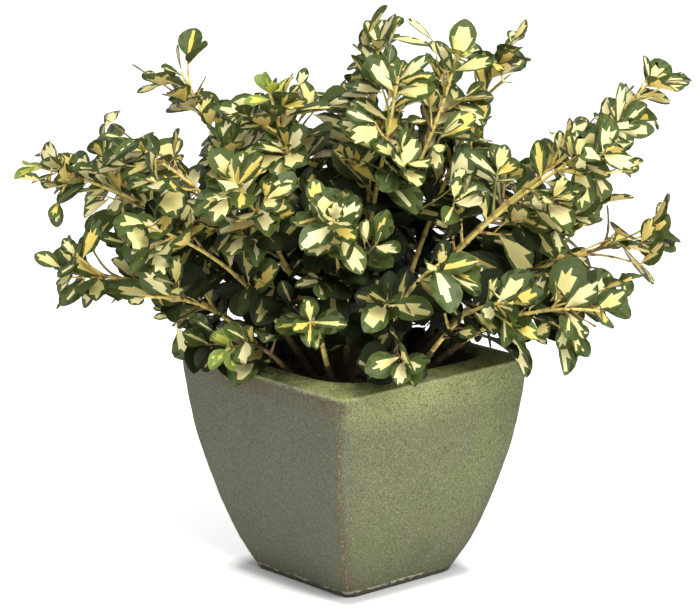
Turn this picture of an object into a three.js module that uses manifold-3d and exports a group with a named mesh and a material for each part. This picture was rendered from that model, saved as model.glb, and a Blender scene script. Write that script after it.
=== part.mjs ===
// A variegated wintercreeper in a square stoneware pot, with its stems arching out over the rim.
// Millimetres, +Z up. The origin is the middle of the pot's flat underside. The pot's walls face X and Y.
import * as THREE from 'three';
import { mergeVertices } from 'three/addons/utils/BufferGeometryUtils.js';
import Module from 'manifold-3d';

const wasm = await Module();
wasm.setup();

// The pot: square in plan, with walls that swell a little between foot and rim
const POT_HEIGHT = 255;
const RIM_HALF = 140;
const FOOT_HALF = 79.6;
const WALL_BULGE = 12;
const CORNER_RADIUS = 10;
const FOOT_ROUND = 4;
const RIM_ROUND = 6;
const RIM_WIDTH = 26;
const WALL_THICKNESS = 14;
const FLOOR_THICKNESS = 18;
const MOUTH_ROUND = 3;
const DRAIN_RADIUS = 7;
const DRAIN_OFFSET = 34;

// The soil fills the pot to a little below the rim
const SOIL_TOP = 231;
const CLEARANCE = 0.3;

// The root crown is the short woody foot that the upright stems fork from
const CROWN_HEIGHT = 34;
const CROWN_TOP_RADIUS = 14.5;
const CROWN_SHOULDER_RADIUS = 16;
const CROWN_WAIST_RADIUS = 15;
const CROWN_FLARE_RADIUS = 22;
const CROWN_SIDES = 14;

// A shoot is one line from its foot to its tip. Its bare lower share is the bough, and the rest is the stem
// of a mass of foliage. High shoots leave the soil steeply, and low ones lean out over the rim.
const BOUGH_SHARE = 0.28;
const BOUGH_BASE_RADIUS = 4.4;
const BOUGH_TIP_RADIUS = 3;
const BOUGH_SIDES = 5;
const BOUGH_STEPS = 3;
const STEM_BASE_RADIUS = 2.8;
const STEM_TIP_RADIUS = 1.3;
const STEM_STEPS = 3;
const STEM_STOPS_SHORT = 8;
const LOWEST_TIP = 290;
const HIGHEST_TIP = 580;
const LOW_FOOT_PITCH = 46;
const HIGH_FOOT_PITCH = 74;
const UPRIGHT_FOOT_PITCH = 84;
const BEND_SHARE = 0.4;
const SWAY = 0.05;

// Twigs leave the stem of a mass at a golden-angle turn and bend up towards the light
const TWIG_SPACING = 74;
const TWIG_RANGE = [0.06, 0.88];
const TWIG_LENGTHS = [0.42, 0.19];
const TWIG_VARIATION = 0.2;
const TWIG_SHORTEST = 42;
const TWIG_LONGEST = 118;
const TWIG_BASE_RADIUS = 1.9;
const TWIG_TIP_RADIUS = 1.1;
const TWIG_STEPS = 1;
const TWIG_ANGLE = 50;
const TWIG_LIFT = 0.28;
const TWIG_FOLLOWS_STEM = 0.35;
const BARE_TWIG_SHARE = 0.2;
const GOLDEN_TURN = 137.5;

// Leaves sit in opposite pairs, each pair a quarter turn from the last. They are fewer and larger than life.
const LEAF_LENGTH = 76;
const LEAF_WIDTH = 48;
const LEAF_THICKNESS = 2;
const LEAF_FOLD = 3;
const LEAF_SINK = 0.4;
const TIP_LEAF_SINK = 4;
const LEAF_ANGLE = 56;
const LEAF_SPACING = 52;
const FACES_UP = 0.45;
const FACES_OUT = 0.9;
const FACE_VARIATION = 0.25;
const SIZE_AT_TIP = 0.72;
const SMALLER_LEAVES = [1, 0.8, 0.62];
const CROWDING = 0.52;
const FUSING_TOLERANCE = 0.2;

// What a leaf or twig keeps clear of a neighbouring mass's space, and of a limb's surface
const SPACE_MARGIN = 2.2;
const LIMB_MARGIN = 2.2;

// Each shoot's tip, by its bearing from +X in degrees, its reach from the middle, its height above the
// floor and the pitch that it ends at, and its foot's distance from the middle.
const ON_CROWN = 9.5;
const SHOOTS = [
  { name: 'right_high', bearing: 43, reach: 332, height: 574, pitch: 46, foot: 36 },
  { name: 'right_upper', bearing: 26, reach: 312, height: 538, pitch: 38, foot: 36 },
  { name: 'right_mid', bearing: 53, reach: 334, height: 384, pitch: 14, foot: 62 },
  { name: 'right_low', bearing: 31, reach: 300, height: 322, pitch: -4, foot: 80 },
  { name: 'left_low', bearing: 236, reach: 330, height: 350, pitch: -4, foot: 76 },
  { name: 'left_under', bearing: 255, reach: 258, height: 346, pitch: 4, foot: 80 },
  { name: 'left_mid', bearing: 227, reach: 362, height: 468, pitch: 12, foot: 50 },
  { name: 'left_upper', bearing: 241, reach: 264, height: 514, pitch: 32, foot: 38 },
  { name: 'left_high', bearing: 213, reach: 202, height: 568, pitch: 62, foot: 36 },
  { name: 'top_left', bearing: 244, reach: 98, height: 562, pitch: 76, foot: ON_CROWN },
  { name: 'top_mid', bearing: 100, reach: 44, height: 602, pitch: 84, foot: ON_CROWN },
  { name: 'top_front', bearing: 350, reach: 92, height: 586, pitch: 76, foot: ON_CROWN },
  { name: 'top_right', bearing: 46, reach: 116, height: 606, pitch: 78, foot: ON_CROWN },
  { name: 'top_far_right', bearing: 72, reach: 182, height: 584, pitch: 64, foot: 36 },
  { name: 'front_left', bearing: 260, reach: 268, height: 432, pitch: 22, foot: 52 },
  { name: 'front_upper_left', bearing: 281, reach: 216, height: 490, pitch: 44, foot: 36 },
  { name: 'front_mid', bearing: 312, reach: 202, height: 452, pitch: 38, foot: 38 },
  { name: 'front_right', bearing: 342, reach: 224, height: 404, pitch: 26, foot: 50 },
  { name: 'right_front', bearing: 8, reach: 228, height: 346, pitch: 4, foot: 78 },
  { name: 'rim_right', bearing: 334, reach: 198, height: 292, pitch: -16, foot: 84 },
  { name: 'rim_left', bearing: 272, reach: 196, height: 290, pitch: -18, foot: 84 },
  { name: 'rim_front', bearing: 302, reach: 176, height: 330, pitch: 4, foot: 76 },
  { name: 'back_right', bearing: 92, reach: 274, height: 502, pitch: 40, foot: 40 },
  { name: 'back_right_low', bearing: 79, reach: 318, height: 362, pitch: 6, foot: 76 },
  { name: 'back_mid', bearing: 128, reach: 262, height: 516, pitch: 42, foot: 40 },
  { name: 'back_low', bearing: 138, reach: 292, height: 358, pitch: 4, foot: 76 },
  { name: 'back_left', bearing: 170, reach: 258, height: 508, pitch: 42, foot: 40 },
  { name: 'back_left_low', bearing: 188, reach: 312, height: 366, pitch: 6, foot: 76 },
];

const SOIL_COLOUR = 0x3a2c20;
const POT_COLOUR = 0x868f6c;
const BARK_COLOUR = 0x8a7448;
const WOOD_COLOUR = 0x6d5a3e;
const LEAF_COLOURS = [0x39523a, 0x4a6544, 0x5d7345];

const UP = new THREE.Vector3(0, 0, 1);
const CROWN_CENTRE = new THREE.Vector3(0, 0, 110);
const radians = THREE.MathUtils.degToRad;
const mix = THREE.MathUtils.lerp;

// A repeatable draw from 0 to 1 for whole-number keys, such as the shoot's number and the twig's
function draw(...keys) {
  let state = 0x2545f491;
  for (const key of keys) {
    state = Math.imul(state ^ (key + 0x9e37), 0x85ebca6b);
    state ^= state >>> 13;
    state = Math.imul(state, 0xc2b2ae35);
    state ^= state >>> 16;
  }
  return (state >>> 0) / 4294967296;
}

// Solids for cutting and joining

function solidOf(geometry) {
  const bare = geometry.clone();
  bare.deleteAttribute('normal');
  bare.deleteAttribute('uv');
  const merged = mergeVertices(bare, 1e-4);
  return new wasm.Manifold(new wasm.Mesh({
    numProp: 3,
    vertProperties: merged.attributes.position.array,
    triVerts: new Uint32Array(merged.index.array),
  }));
}

function geometryOf(solid) {
  const mesh = solid.getMesh();
  const geometry = new THREE.BufferGeometry();
  geometry.setAttribute('position', new THREE.BufferAttribute(mesh.vertProperties, 3));
  geometry.setIndex(new THREE.BufferAttribute(mesh.triVerts, 1));
  return geometry;
}

// Fuses solids and keeps the one outer body, so that loose scraps drop away and sealed hollows are filled
function fused(solids) {
  const bodies = wasm.Manifold.union(solids).simplify(FUSING_TOLERANCE).decompose();
  return bodies.reduce((best, body) => (body.volume() > best.volume() ? body : best));
}

function movedVertices(geometry, place) {
  const positions = geometry.attributes.position;
  const point = new THREE.Vector3();
  for (let i = 0; i < positions.count; i += 1) {
    point.fromBufferAttribute(positions, i);
    place(point);
    positions.setXYZ(i, point.x, point.y, point.z);
  }
  return geometry;
}

// The pot and its soil

// Half the pot's outer side at a height: a circular arc from foot to rim that swells by WALL_BULGE
function outerHalf(z) {
  const chord = Math.hypot(RIM_HALF - FOOT_HALF, POT_HEIGHT);
  const radius = (chord ** 2 / 4 + WALL_BULGE ** 2) / (2 * WALL_BULGE);
  const along = (z / POT_HEIGHT - 0.5) * chord;
  const swell = Math.sqrt(radius ** 2 - along ** 2) - (radius - WALL_BULGE);
  return mix(FOOT_HALF, RIM_HALF, z / POT_HEIGHT) + swell;
}

function innerHalf(z) {
  return outerHalf(z) - mix(WALL_THICKNESS, RIM_WIDTH, z / POT_HEIGHT);
}

// A square column with rounded corners that follows levels of [half side, height]
function squareColumn(levels) {
  const side = RIM_HALF;
  const straight = side - CORNER_RADIUS;
  const shape = new THREE.Shape();
  shape.absarc(straight, straight, CORNER_RADIUS, 0, Math.PI / 2, false);
  shape.absarc(-straight, straight, CORNER_RADIUS, Math.PI / 2, Math.PI, false);
  shape.absarc(-straight, -straight, CORNER_RADIUS, Math.PI, 1.5 * Math.PI, false);
  shape.absarc(straight, -straight, CORNER_RADIUS, 1.5 * Math.PI, 2 * Math.PI, false);
  const steps = levels.length - 1;
  const options = { depth: 1, steps, curveSegments: 2, bevelEnabled: false };
  const column = new THREE.ExtrudeGeometry(shape, options);
  return movedVertices(column, (point) => {
    const [half, height] = levels[Math.round(point.z * steps)];
    point.set(point.x * half / side, point.y * half / side, height);
  });
}

function evenSteps(from, to, count) {
  return Array.from({ length: count + 1 }, (_, i) => mix(from, to, i / count));
}

function potSolid() {
  const quarter = evenSteps(0, Math.PI / 2, 2);
  const footLevels = quarter.map((turn) => [
    outerHalf(FOOT_ROUND) - FOOT_ROUND * (1 - Math.sin(turn)), FOOT_ROUND * (1 - Math.cos(turn))]);
  const wallLevels = evenSteps(FOOT_ROUND, POT_HEIGHT - RIM_ROUND, 7).map((z) => [outerHalf(z), z]).slice(1);
  const rimLevels = quarter.slice(1).map((turn) => [
    outerHalf(POT_HEIGHT - RIM_ROUND) - RIM_ROUND * (1 - Math.cos(turn)),
    POT_HEIGHT - RIM_ROUND * (1 - Math.sin(turn))]);
  const outside = solidOf(squareColumn([...footLevels, ...wallLevels, ...rimLevels]));
  const insideLevels = [
    ...innerWallLevels(),
    [innerHalf(POT_HEIGHT - MOUTH_ROUND), POT_HEIGHT - MOUTH_ROUND],
    [innerHalf(POT_HEIGHT) + MOUTH_ROUND, POT_HEIGHT],
    [innerHalf(POT_HEIGHT) + MOUTH_ROUND, POT_HEIGHT + 1]];
  const inside = solidOf(squareColumn(insideLevels));
  let pot = outside.subtract(inside);
  for (const [x, y] of [[1, 1], [-1, 1], [-1, -1], [1, -1]]) {
    const drain = new THREE.CylinderGeometry(DRAIN_RADIUS, DRAIN_RADIUS, 2 * FLOOR_THICKNESS, 8);
    drain.rotateX(Math.PI / 2);
    drain.translate(x * DRAIN_OFFSET, y * DRAIN_OFFSET, FLOOR_THICKNESS / 2);
    pot = pot.subtract(solidOf(drain));
  }
  return pot;
}

function innerWallLevels() {
  return evenSteps(FLOOR_THICKNESS, SOIL_TOP, 4).map((z) => [innerHalf(z), z]);
}

function soilGeometry() {
  return squareColumn(innerWallLevels().map(([half, z]) => [half - CLEARANCE, z]));
}

// The root crown, flared at the soil and flat on top where the upright stems fork

function rootCrownGeometry() {
  const profile = [
    [0, 0],
    [CROWN_FLARE_RADIUS, 0],
    [mix(CROWN_WAIST_RADIUS, CROWN_FLARE_RADIUS, 0.3), 0.15 * CROWN_HEIGHT],
    [CROWN_WAIST_RADIUS, 0.45 * CROWN_HEIGHT],
    [CROWN_SHOULDER_RADIUS, 0.8 * CROWN_HEIGHT],
    [CROWN_TOP_RADIUS, CROWN_HEIGHT],
    [0, CROWN_HEIGHT]];
  const crown = new THREE.LatheGeometry(profile.map(([r, z]) => new THREE.Vector2(r, z)), CROWN_SIDES);
  return crown.rotateX(Math.PI / 2);
}

// Limbs

function direction(bearing, pitch) {
  const level = Math.cos(radians(pitch));
  return new THREE.Vector3(
    level * Math.cos(radians(bearing)), level * Math.sin(radians(bearing)), Math.sin(radians(pitch)));
}

// A shoot's whole line from its foot to its tip, measured from the soil's surface
function shootCurve(shoot, number) {
  const onCrown = shoot.foot === ON_CROWN;
  const foot = direction(shoot.bearing, 0).multiplyScalar(shoot.foot);
  foot.z = onCrown ? CROWN_HEIGHT : 0;
  const tip = direction(shoot.bearing, 0).multiplyScalar(shoot.reach);
  tip.z = shoot.height - SOIL_TOP;
  const length = foot.distanceTo(tip);
  const sway = length * SWAY * (2 * draw(number, 1) - 1);
  const sideways = direction(shoot.bearing + 90, 0).multiplyScalar(sway);
  const raised = THREE.MathUtils.inverseLerp(LOWEST_TIP, HIGHEST_TIP, shoot.height);
  const footPitch = onCrown ? UPRIGHT_FOOT_PITCH : mix(LOW_FOOT_PITCH, HIGH_FOOT_PITCH, raised);
  const leaving = direction(shoot.bearing, footPitch).multiplyScalar(BEND_SHARE * length).add(foot);
  const arriving = direction(shoot.bearing, shoot.pitch).multiplyScalar(-BEND_SHARE * length).add(tip);
  return new THREE.CubicBezierCurve3(foot, leaving.add(sideways), arriving.add(sideways), tip);
}

// A tapering limb: a cylinder whose rings are carried on to a stretch of a curve
function limbGeometry(curve, from, to, startRadius, endRadius, sides, steps, flatFoot = false) {
  const limb = new THREE.CylinderGeometry(endRadius, startRadius, 1, sides, steps);
  const reference = anySide(curve.getTangentAt(from));
  return movedVertices(limb, (point) => {
    const along = mix(from, to, point.y + 0.5);
    const tangent = curve.getTangentAt(along);
    const across = reference.clone().projectOnPlane(tangent).normalize();
    const third = new THREE.Vector3().crossVectors(tangent, across);
    const centre = curve.getPointAt(along);
    const isFoot = flatFoot && along === from;
    const offset = across.multiplyScalar(point.z).addScaledVector(third, point.x);
    point.copy(centre).add(offset);
    if (isFoot) {
      point.addScaledVector(tangent, (centre.z - point.z) / tangent.z);
      point.z = centre.z;
    }
  });
}

function anySide(tangent) {
  const helper = Math.abs(tangent.z) > 0.8 ? new THREE.Vector3(1, 0, 0) : UP;
  return new THREE.Vector3().crossVectors(tangent, helper).normalize();
}

// Own space: a point belongs to the mass whose stem is nearest, clear of every limb, the soil and the pot

function distanceToLine(point, line) {
  const segment = new THREE.Line3();
  const nearest = new THREE.Vector3();
  let least = Infinity;
  for (let i = 1; i < line.length; i += 1) {
    segment.set(line[i - 1], line[i]);
    segment.closestPointToPoint(point, true, nearest);
    least = Math.min(least, nearest.distanceTo(point));
  }
  return least;
}

function pointsOn(curve, from, to, count) {
  return evenSteps(from, to, count).map((share) => curve.getPointAt(share));
}

function clearOfPot(point) {
  const wide = Math.max(Math.abs(point.x), Math.abs(point.y));
  const height = point.z + SOIL_TOP;
  if (height > POT_HEIGHT + LIMB_MARGIN) {
    return true;
  }
  const outside = wide > outerHalf(Math.min(Math.max(height, 0), POT_HEIGHT)) + LIMB_MARGIN;
  const within = wide < innerHalf(POT_HEIGHT) - LIMB_MARGIN && height > SOIL_TOP + LIMB_MARGIN;
  return outside || within;
}

function ownsPoint(point, own, masses) {
  if (!clearOfPot(point)) {
    return false;
  }
  const ownDistance = distanceToLine(point, masses[own].line);
  return masses.every((mass, i) => {
    const clearOfMass = i === own || distanceToLine(point, mass.line) > ownDistance + SPACE_MARGIN;
    return clearOfMass && distanceToLine(point, mass.bough) > BOUGH_BASE_RADIUS + LIMB_MARGIN;
  });
}

// Foliage

// A leaf's own axes: along its midrib, across it and out of its upper face, which turns to the light
function leafAxes(root, along, key) {
  const outward = root.clone().sub(CROWN_CENTRE).normalize();
  const face = UP.clone().multiplyScalar(FACES_UP).addScaledVector(outward, FACES_OUT);
  face.x += FACE_VARIATION * (2 * draw(...key, 11) - 1);
  face.y += FACE_VARIATION * (2 * draw(...key, 12) - 1);
  const normal = face.projectOnPlane(along).normalize();
  const across = new THREE.Vector3().crossVectors(normal, along);
  return new THREE.Matrix4().makeBasis(along, across, normal).setPosition(root);
}

// A blade of eight faces, folded up a little on both sides of its midrib
function leafGeometry(axes, size) {
  const blade = new THREE.OctahedronGeometry(1);
  movedVertices(blade, (point) => {
    point.set(
      size * LEAF_LENGTH * (0.5 + 0.5 * point.x),
      size * LEAF_WIDTH * 0.5 * point.y,
      LEAF_THICKNESS * 0.5 * point.z + LEAF_FOLD * size * Math.abs(point.y));
  });
  return blade.applyMatrix4(axes);
}

function leafSamples(axes, size) {
  const samples = [];
  for (const along of [0.25, 0.5, 0.75, 1]) {
    const spread = 1 - Math.abs(2 * along - 1);
    for (const across of spread > 0 ? [-1, -0.5, 0, 0.5, 1] : [0]) {
      const y = 0.5 * LEAF_WIDTH * size * spread * across;
      const z = LEAF_FOLD * size * spread * Math.abs(across);
      samples.push(new THREE.Vector3(along * LEAF_LENGTH * size, y, z).applyMatrix4(axes));
    }
  }
  return samples;
}

// The largest leaf that stays in its mass's own space there and doesn't crowd its other leaves, or none
function fittingLeaf(root, along, fullSize, key, own, masses) {
  const axes = leafAxes(root, along, key);
  for (const share of SMALLER_LEAVES) {
    const size = share * fullSize;
    const middle = root.clone().addScaledVector(along, 0.5 * size * LEAF_LENGTH);
    const room = CROWDING * size * LEAF_LENGTH;
    const roomy = masses[own].leafMiddles.every((other) => other.distanceTo(middle) > room);
    if (roomy && leafSamples(axes, size).every((point) => ownsPoint(point, own, masses))) {
      masses[own].leafMiddles.push(middle);
      return [solidOf(leafGeometry(axes, size))];
    }
  }
  return [];
}

// Opposite pairs along a stem, and a single leaf that carries on from its tip
function leavesAlong(curve, [from, to], pairs, radius, sizes, key, own, masses) {
  const leaves = [];
  for (let pair = 0; pair < pairs; pair += 1) {
    const along = (pair + 0.5) / (pairs + 0.3);
    const leafSize = mix(sizes[0], sizes[1], along);
    const share = mix(from, to, along);
    const tangent = curve.getTangentAt(share);
    const node = curve.getPointAt(share);
    const turn = radians(90 * pair + 360 * draw(...key, 3));
    const first = anySide(tangent).applyAxisAngle(tangent, turn);
    for (const side of [1, -1]) {
      const blade = tangent.clone().multiplyScalar(Math.cos(radians(LEAF_ANGLE)))
        .addScaledVector(first, side * Math.sin(radians(LEAF_ANGLE))).normalize();
      const root = node.clone().addScaledVector(blade, -LEAF_SINK * radius);
      leaves.push(...fittingLeaf(root, blade, leafSize, [...key, pair, side + 2], own, masses));
    }
  }
  const last = curve.getTangentAt(to);
  const root = curve.getPointAt(to).addScaledVector(last, -TIP_LEAF_SINK * radius);
  leaves.push(...fittingLeaf(root, last, sizes[1], [...key, pairs, 1], own, masses));
  return leaves;
}

function twigCurve(curve, share, length, turn) {
  const tangent = curve.getTangentAt(share);
  const start = curve.getPointAt(share);
  const side = anySide(tangent).applyAxisAngle(tangent, turn);
  const leaving = tangent.clone().multiplyScalar(Math.cos(radians(TWIG_ANGLE)))
    .addScaledVector(side, Math.sin(radians(TWIG_ANGLE)));
  const middle = start.clone().addScaledVector(leaving, length * 0.5);
  const later = leaving.clone()
    .addScaledVector(tangent, TWIG_FOLLOWS_STEM).addScaledVector(UP, TWIG_LIFT).normalize();
  const end = middle.clone().addScaledVector(later, length * 0.5);
  return new THREE.QuadraticBezierCurve3(start, middle, end);
}

// One mass: its stem, the twigs that keep to its space, and their leaves, all fused
function foliageSolid(own, masses) {
  const { curve, from, to } = masses[own];
  const length = curve.getLength() * (to - from);
  const stem = limbGeometry(curve, from, to, STEM_BASE_RADIUS, STEM_TIP_RADIUS, 3, STEM_STEPS);
  const pairs = Math.max(2, Math.round(length / LEAF_SPACING) - 1);
  const span = [from, to];
  const stemSizes = [1, SIZE_AT_TIP];
  const stemLeaves = leavesAlong(curve, span, pairs, STEM_BASE_RADIUS, stemSizes, [own, 0], own, masses);
  const pieces = [solidOf(stem), ...stemLeaves];
  const twigs = Math.max(2, Math.round(length / TWIG_SPACING));
  for (let i = 0; i < twigs; i += 1) {
    const along = (i + 0.35 + 0.3 * draw(own, i, 5)) / twigs;
    const share = mix(from, to, mix(...TWIG_RANGE, along));
    const vary = 1 + TWIG_VARIATION * (2 * draw(own, i, 6) - 1);
    const wanted = vary * length * mix(...TWIG_LENGTHS, along);
    const twigLength = THREE.MathUtils.clamp(wanted, TWIG_SHORTEST, TWIG_LONGEST);
    const turn = radians(GOLDEN_TURN * i + 360 * draw(own, 7));
    const twig = twigCurve(curve, share, twigLength, turn);
    const leafy = [BARE_TWIG_SHARE, 1];
    if (!pointsOn(twig, ...leafy, 5).every((point) => ownsPoint(point, own, masses))) {
      continue;
    }
    pieces.push(solidOf(limbGeometry(twig, 0, 1, TWIG_BASE_RADIUS, TWIG_TIP_RADIUS, 3, TWIG_STEPS)));
    const sizes = [mix(1, SIZE_AT_TIP, along), SIZE_AT_TIP];
    pieces.push(...leavesAlong(twig, leafy, 1, TWIG_BASE_RADIUS, sizes, [own, i + 1], own, masses));
  }
  return fused(pieces);
}

// Everything, in its place

function material(color, roughness) {
  return new THREE.MeshStandardMaterial({ color, roughness, metalness: 0 });
}

function named(name, geometry, surface) {
  const mesh = new THREE.Mesh(geometry, surface);
  mesh.name = name;
  return mesh;
}

const pottedPlant = new THREE.Group();
pottedPlant.add(named('pot', geometryOf(potSolid()), material(POT_COLOUR, 0.6)));
pottedPlant.add(named('soil', soilGeometry(), material(SOIL_COLOUR, 0.95)));

const plant = new THREE.Group();
plant.position.z = SOIL_TOP;
plant.add(named('root_crown', rootCrownGeometry(), material(WOOD_COLOUR, 0.85)));

const masses = SHOOTS.map((shoot, number) => {
  const curve = shootCurve(shoot, number);
  const from = BOUGH_SHARE + CLEARANCE / curve.getLength();
  const to = 1 - STEM_STOPS_SHORT / curve.getLength();
  const bough = pointsOn(curve, 0, BOUGH_SHARE, 6);
  return { curve, from, to, bough, line: pointsOn(curve, from, to, 12), leafMiddles: [] };
});

SHOOTS.forEach((shoot, number) => {
  const { curve } = masses[number];
  const radii = [BOUGH_BASE_RADIUS, BOUGH_TIP_RADIUS];
  const bough = limbGeometry(curve, 0, BOUGH_SHARE, ...radii, BOUGH_SIDES, BOUGH_STEPS, true);
  plant.add(named(`bough_${shoot.name}`, bough, material(BARK_COLOUR, 0.7)));
  const leafColour = LEAF_COLOURS[number % LEAF_COLOURS.length];
  const foliage = geometryOf(foliageSolid(number, masses));
  plant.add(named(`foliage_${shoot.name}`, foliage, material(leafColour, 0.5)));
});
pottedPlant.add(plant);

export default pottedPlant;
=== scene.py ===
"""A variegated wintercreeper in a square stoneware pot, built over its solids."""
import functools
import math
import random
from collections import namedtuple

import bmesh
import bpy
import numpy as np
from bpy.props import FloatProperty, FloatVectorProperty, PointerProperty
from mathutils import Matrix, Vector, noise


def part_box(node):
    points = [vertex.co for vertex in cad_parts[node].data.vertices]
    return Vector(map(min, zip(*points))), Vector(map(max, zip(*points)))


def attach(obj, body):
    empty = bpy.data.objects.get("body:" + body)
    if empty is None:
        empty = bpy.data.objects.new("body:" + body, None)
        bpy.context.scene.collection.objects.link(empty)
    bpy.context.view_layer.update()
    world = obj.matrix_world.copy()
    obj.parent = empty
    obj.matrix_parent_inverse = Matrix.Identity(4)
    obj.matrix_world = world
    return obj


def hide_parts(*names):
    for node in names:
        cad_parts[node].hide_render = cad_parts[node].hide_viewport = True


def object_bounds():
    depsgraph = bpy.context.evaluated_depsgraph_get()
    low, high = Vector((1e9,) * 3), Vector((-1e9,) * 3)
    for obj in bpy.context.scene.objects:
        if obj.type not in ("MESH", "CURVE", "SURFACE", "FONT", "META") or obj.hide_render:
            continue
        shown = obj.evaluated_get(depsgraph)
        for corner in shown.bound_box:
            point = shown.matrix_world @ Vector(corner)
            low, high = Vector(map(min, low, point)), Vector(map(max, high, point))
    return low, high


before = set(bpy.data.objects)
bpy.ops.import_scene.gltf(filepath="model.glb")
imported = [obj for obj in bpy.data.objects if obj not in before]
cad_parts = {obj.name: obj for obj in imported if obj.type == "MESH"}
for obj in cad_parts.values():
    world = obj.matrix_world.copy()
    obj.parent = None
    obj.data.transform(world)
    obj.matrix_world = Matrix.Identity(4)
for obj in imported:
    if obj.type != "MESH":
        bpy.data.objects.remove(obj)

bl_info = {
    "name": "Potted wintercreeper",
    "version": (1, 0, 0),
    "blender": (4, 5, 0),
    "location": "3D View > Sidebar > Wintercreeper",
    "description": "Builds a variegated wintercreeper in a square stoneware pot, with its stage",
    "category": "Object",
}

CAD_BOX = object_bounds()
MM = 0.001
POT_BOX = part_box("pot")
SOIL_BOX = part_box("soil")
POT_HEIGHT = POT_BOX[1].z / MM
RIM_HALF = POT_BOX[1].x / MM
SOIL_TOP = SOIL_BOX[1].z / MM

# The pot, in millimetres, as the solid has it
FOOT_HALF = 79.6
WALL_BULGE = 12
WALL_THICKNESS = 14
CORNER_RADIUS = 8
RIM_WIDTH = 26
FLOOR_THICKNESS = 18
FOOT_ROUND = 4
HOLE_PLACES = ((34, 34), (-34, 34), (-34, -34), (34, -34))
HOLE_RADIUS = 7
DRILL_LENGTH = 40

# What shows on the pot beyond its solid, in millimetres, and the walls' turn at half height in radians
RIM_SLOPE = 5
INNER_EDGE_RISE = 1.5
RIM_ROUND = 2.4
MOUTH_ROUND = 4
MOUTH_CORNER_RADIUS = 56
FOOT_CORNER_RADIUS = 14
FOOT_ROUNDED_TO = 60
WALL_TWIST = -0.038
QUARTER_TURN = [math.radians(15 * i) for i in range(7)]
WALL_RINGS = 40
INSIDE_RINGS = 12
SKIN_DEPTH = 8
SEAM_WIDTH = 5
NIBBLED_TO = 9
NIBBLE_DEPTH = 1.1
# How fine the noise of the pot's relief is, in features to the metre
WANDER_FINENESS = (16, 45)
SEAM_FINENESS = 90
NIBBLE_FINENESS = 130

# Loose pieces on the soil, in millimetres
SOIL_DIVISIONS = 84
SOIL_CLEARANCE = 0.6
SOIL_RISE = 2.2
CRUMB_HEIGHT = 1.5
CRUMB_FINENESS = (120, 260)
MOUND_HEIGHT = 1.6
MOUND_FINENESS = 22
CHIP_SEED = 11
CHIP_COUNT = 420
CHIP_SIZES = ((1.6, 5.5), (1.2, 3.2), (0.7, 1.7))
CHIP_HEIGHT = 3.4
CHIPS_FROM_WALL = 9

# The shoots and the rule that they grow by, in millimetres and degrees, as the solids have them
CROWN_HEIGHT = 34
CROWN_PROFILE = [(22, 0), (17.1, 0.15), (15, 0.45), (16, 0.8), (14.5, 1)]
CROWN_TOP = (11, 7, 3)
BOUGH_SHARE = 0.28
BOUGH_RADII = (4.4, 3)
STEM_RADII = (2.9, 1.3)
STEM_STOPS_SHORT = 4
LOWEST_TIP = 290
HIGHEST_TIP = 580
LOW_FOOT_PITCH = 46
HIGH_FOOT_PITCH = 74
UPRIGHT_FOOT_PITCH = 84
BEND_SHARE = 0.4
SWAY = 0.05
TWIG_SPACING = 74
TWIG_RANGE = (0.06, 0.88)
TWIG_LENGTHS = (0.42, 0.19)
TWIG_VARIATION = 0.2
TWIG_SHORTEST = 42
TWIG_LONGEST = 118
TWIG_RADII = (1.8, 0.9)
TWIG_ANGLE = 50
TWIG_LIFT = 0.28
TWIG_FOLLOWS_STEM = 0.35
GOLDEN_TURN = 137.5
LIMB_MARGIN = 2.2
UP = np.array([0.0, 0.0, 1.0])
CROWN_CENTRE = np.array([0.0, 0.0, 110.0])
ON_CROWN = 9.5
SHOOTS = [
    # name, bearing, reach, height above the floor, pitch at the tip, foot's distance from the middle
    ("right_high", 43, 332, 574, 46, 36),
    ("right_upper", 26, 312, 538, 38, 36),
    ("right_mid", 53, 334, 384, 14, 62),
    ("right_low", 31, 300, 322, -4, 80),
    ("left_low", 236, 330, 350, -4, 76),
    ("left_under", 255, 258, 346, 4, 80),
    ("left_mid", 227, 362, 468, 12, 50),
    ("left_upper", 241, 264, 514, 32, 38),
    ("left_high", 213, 202, 568, 62, 36),
    ("top_left", 244, 98, 562, 76, ON_CROWN),
    ("top_mid", 100, 44, 602, 84, ON_CROWN),
    ("top_front", 350, 92, 586, 76, ON_CROWN),
    ("top_right", 46, 116, 606, 78, ON_CROWN),
    ("top_far_right", 72, 182, 584, 64, 36),
    ("front_left", 260, 268, 432, 22, 52),
    ("front_upper_left", 281, 216, 490, 44, 36),
    ("front_mid", 312, 202, 452, 38, 38),
    ("front_right", 342, 224, 404, 26, 50),
    ("right_front", 8, 228, 346, 4, 78),
    ("rim_right", 334, 198, 292, -16, 84),
    ("rim_left", 272, 196, 290, -18, 84),
    ("rim_front", 302, 176, 330, 4, 76),
    ("back_right", 92, 274, 502, 40, 40),
    ("back_right_low", 79, 318, 362, 6, 76),
    ("back_mid", 128, 262, 516, 42, 40),
    ("back_low", 138, 292, 358, 4, 76),
    ("back_left", 170, 258, 508, 42, 40),
    ("back_left_low", 188, 312, 366, 6, 76),
]

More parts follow.
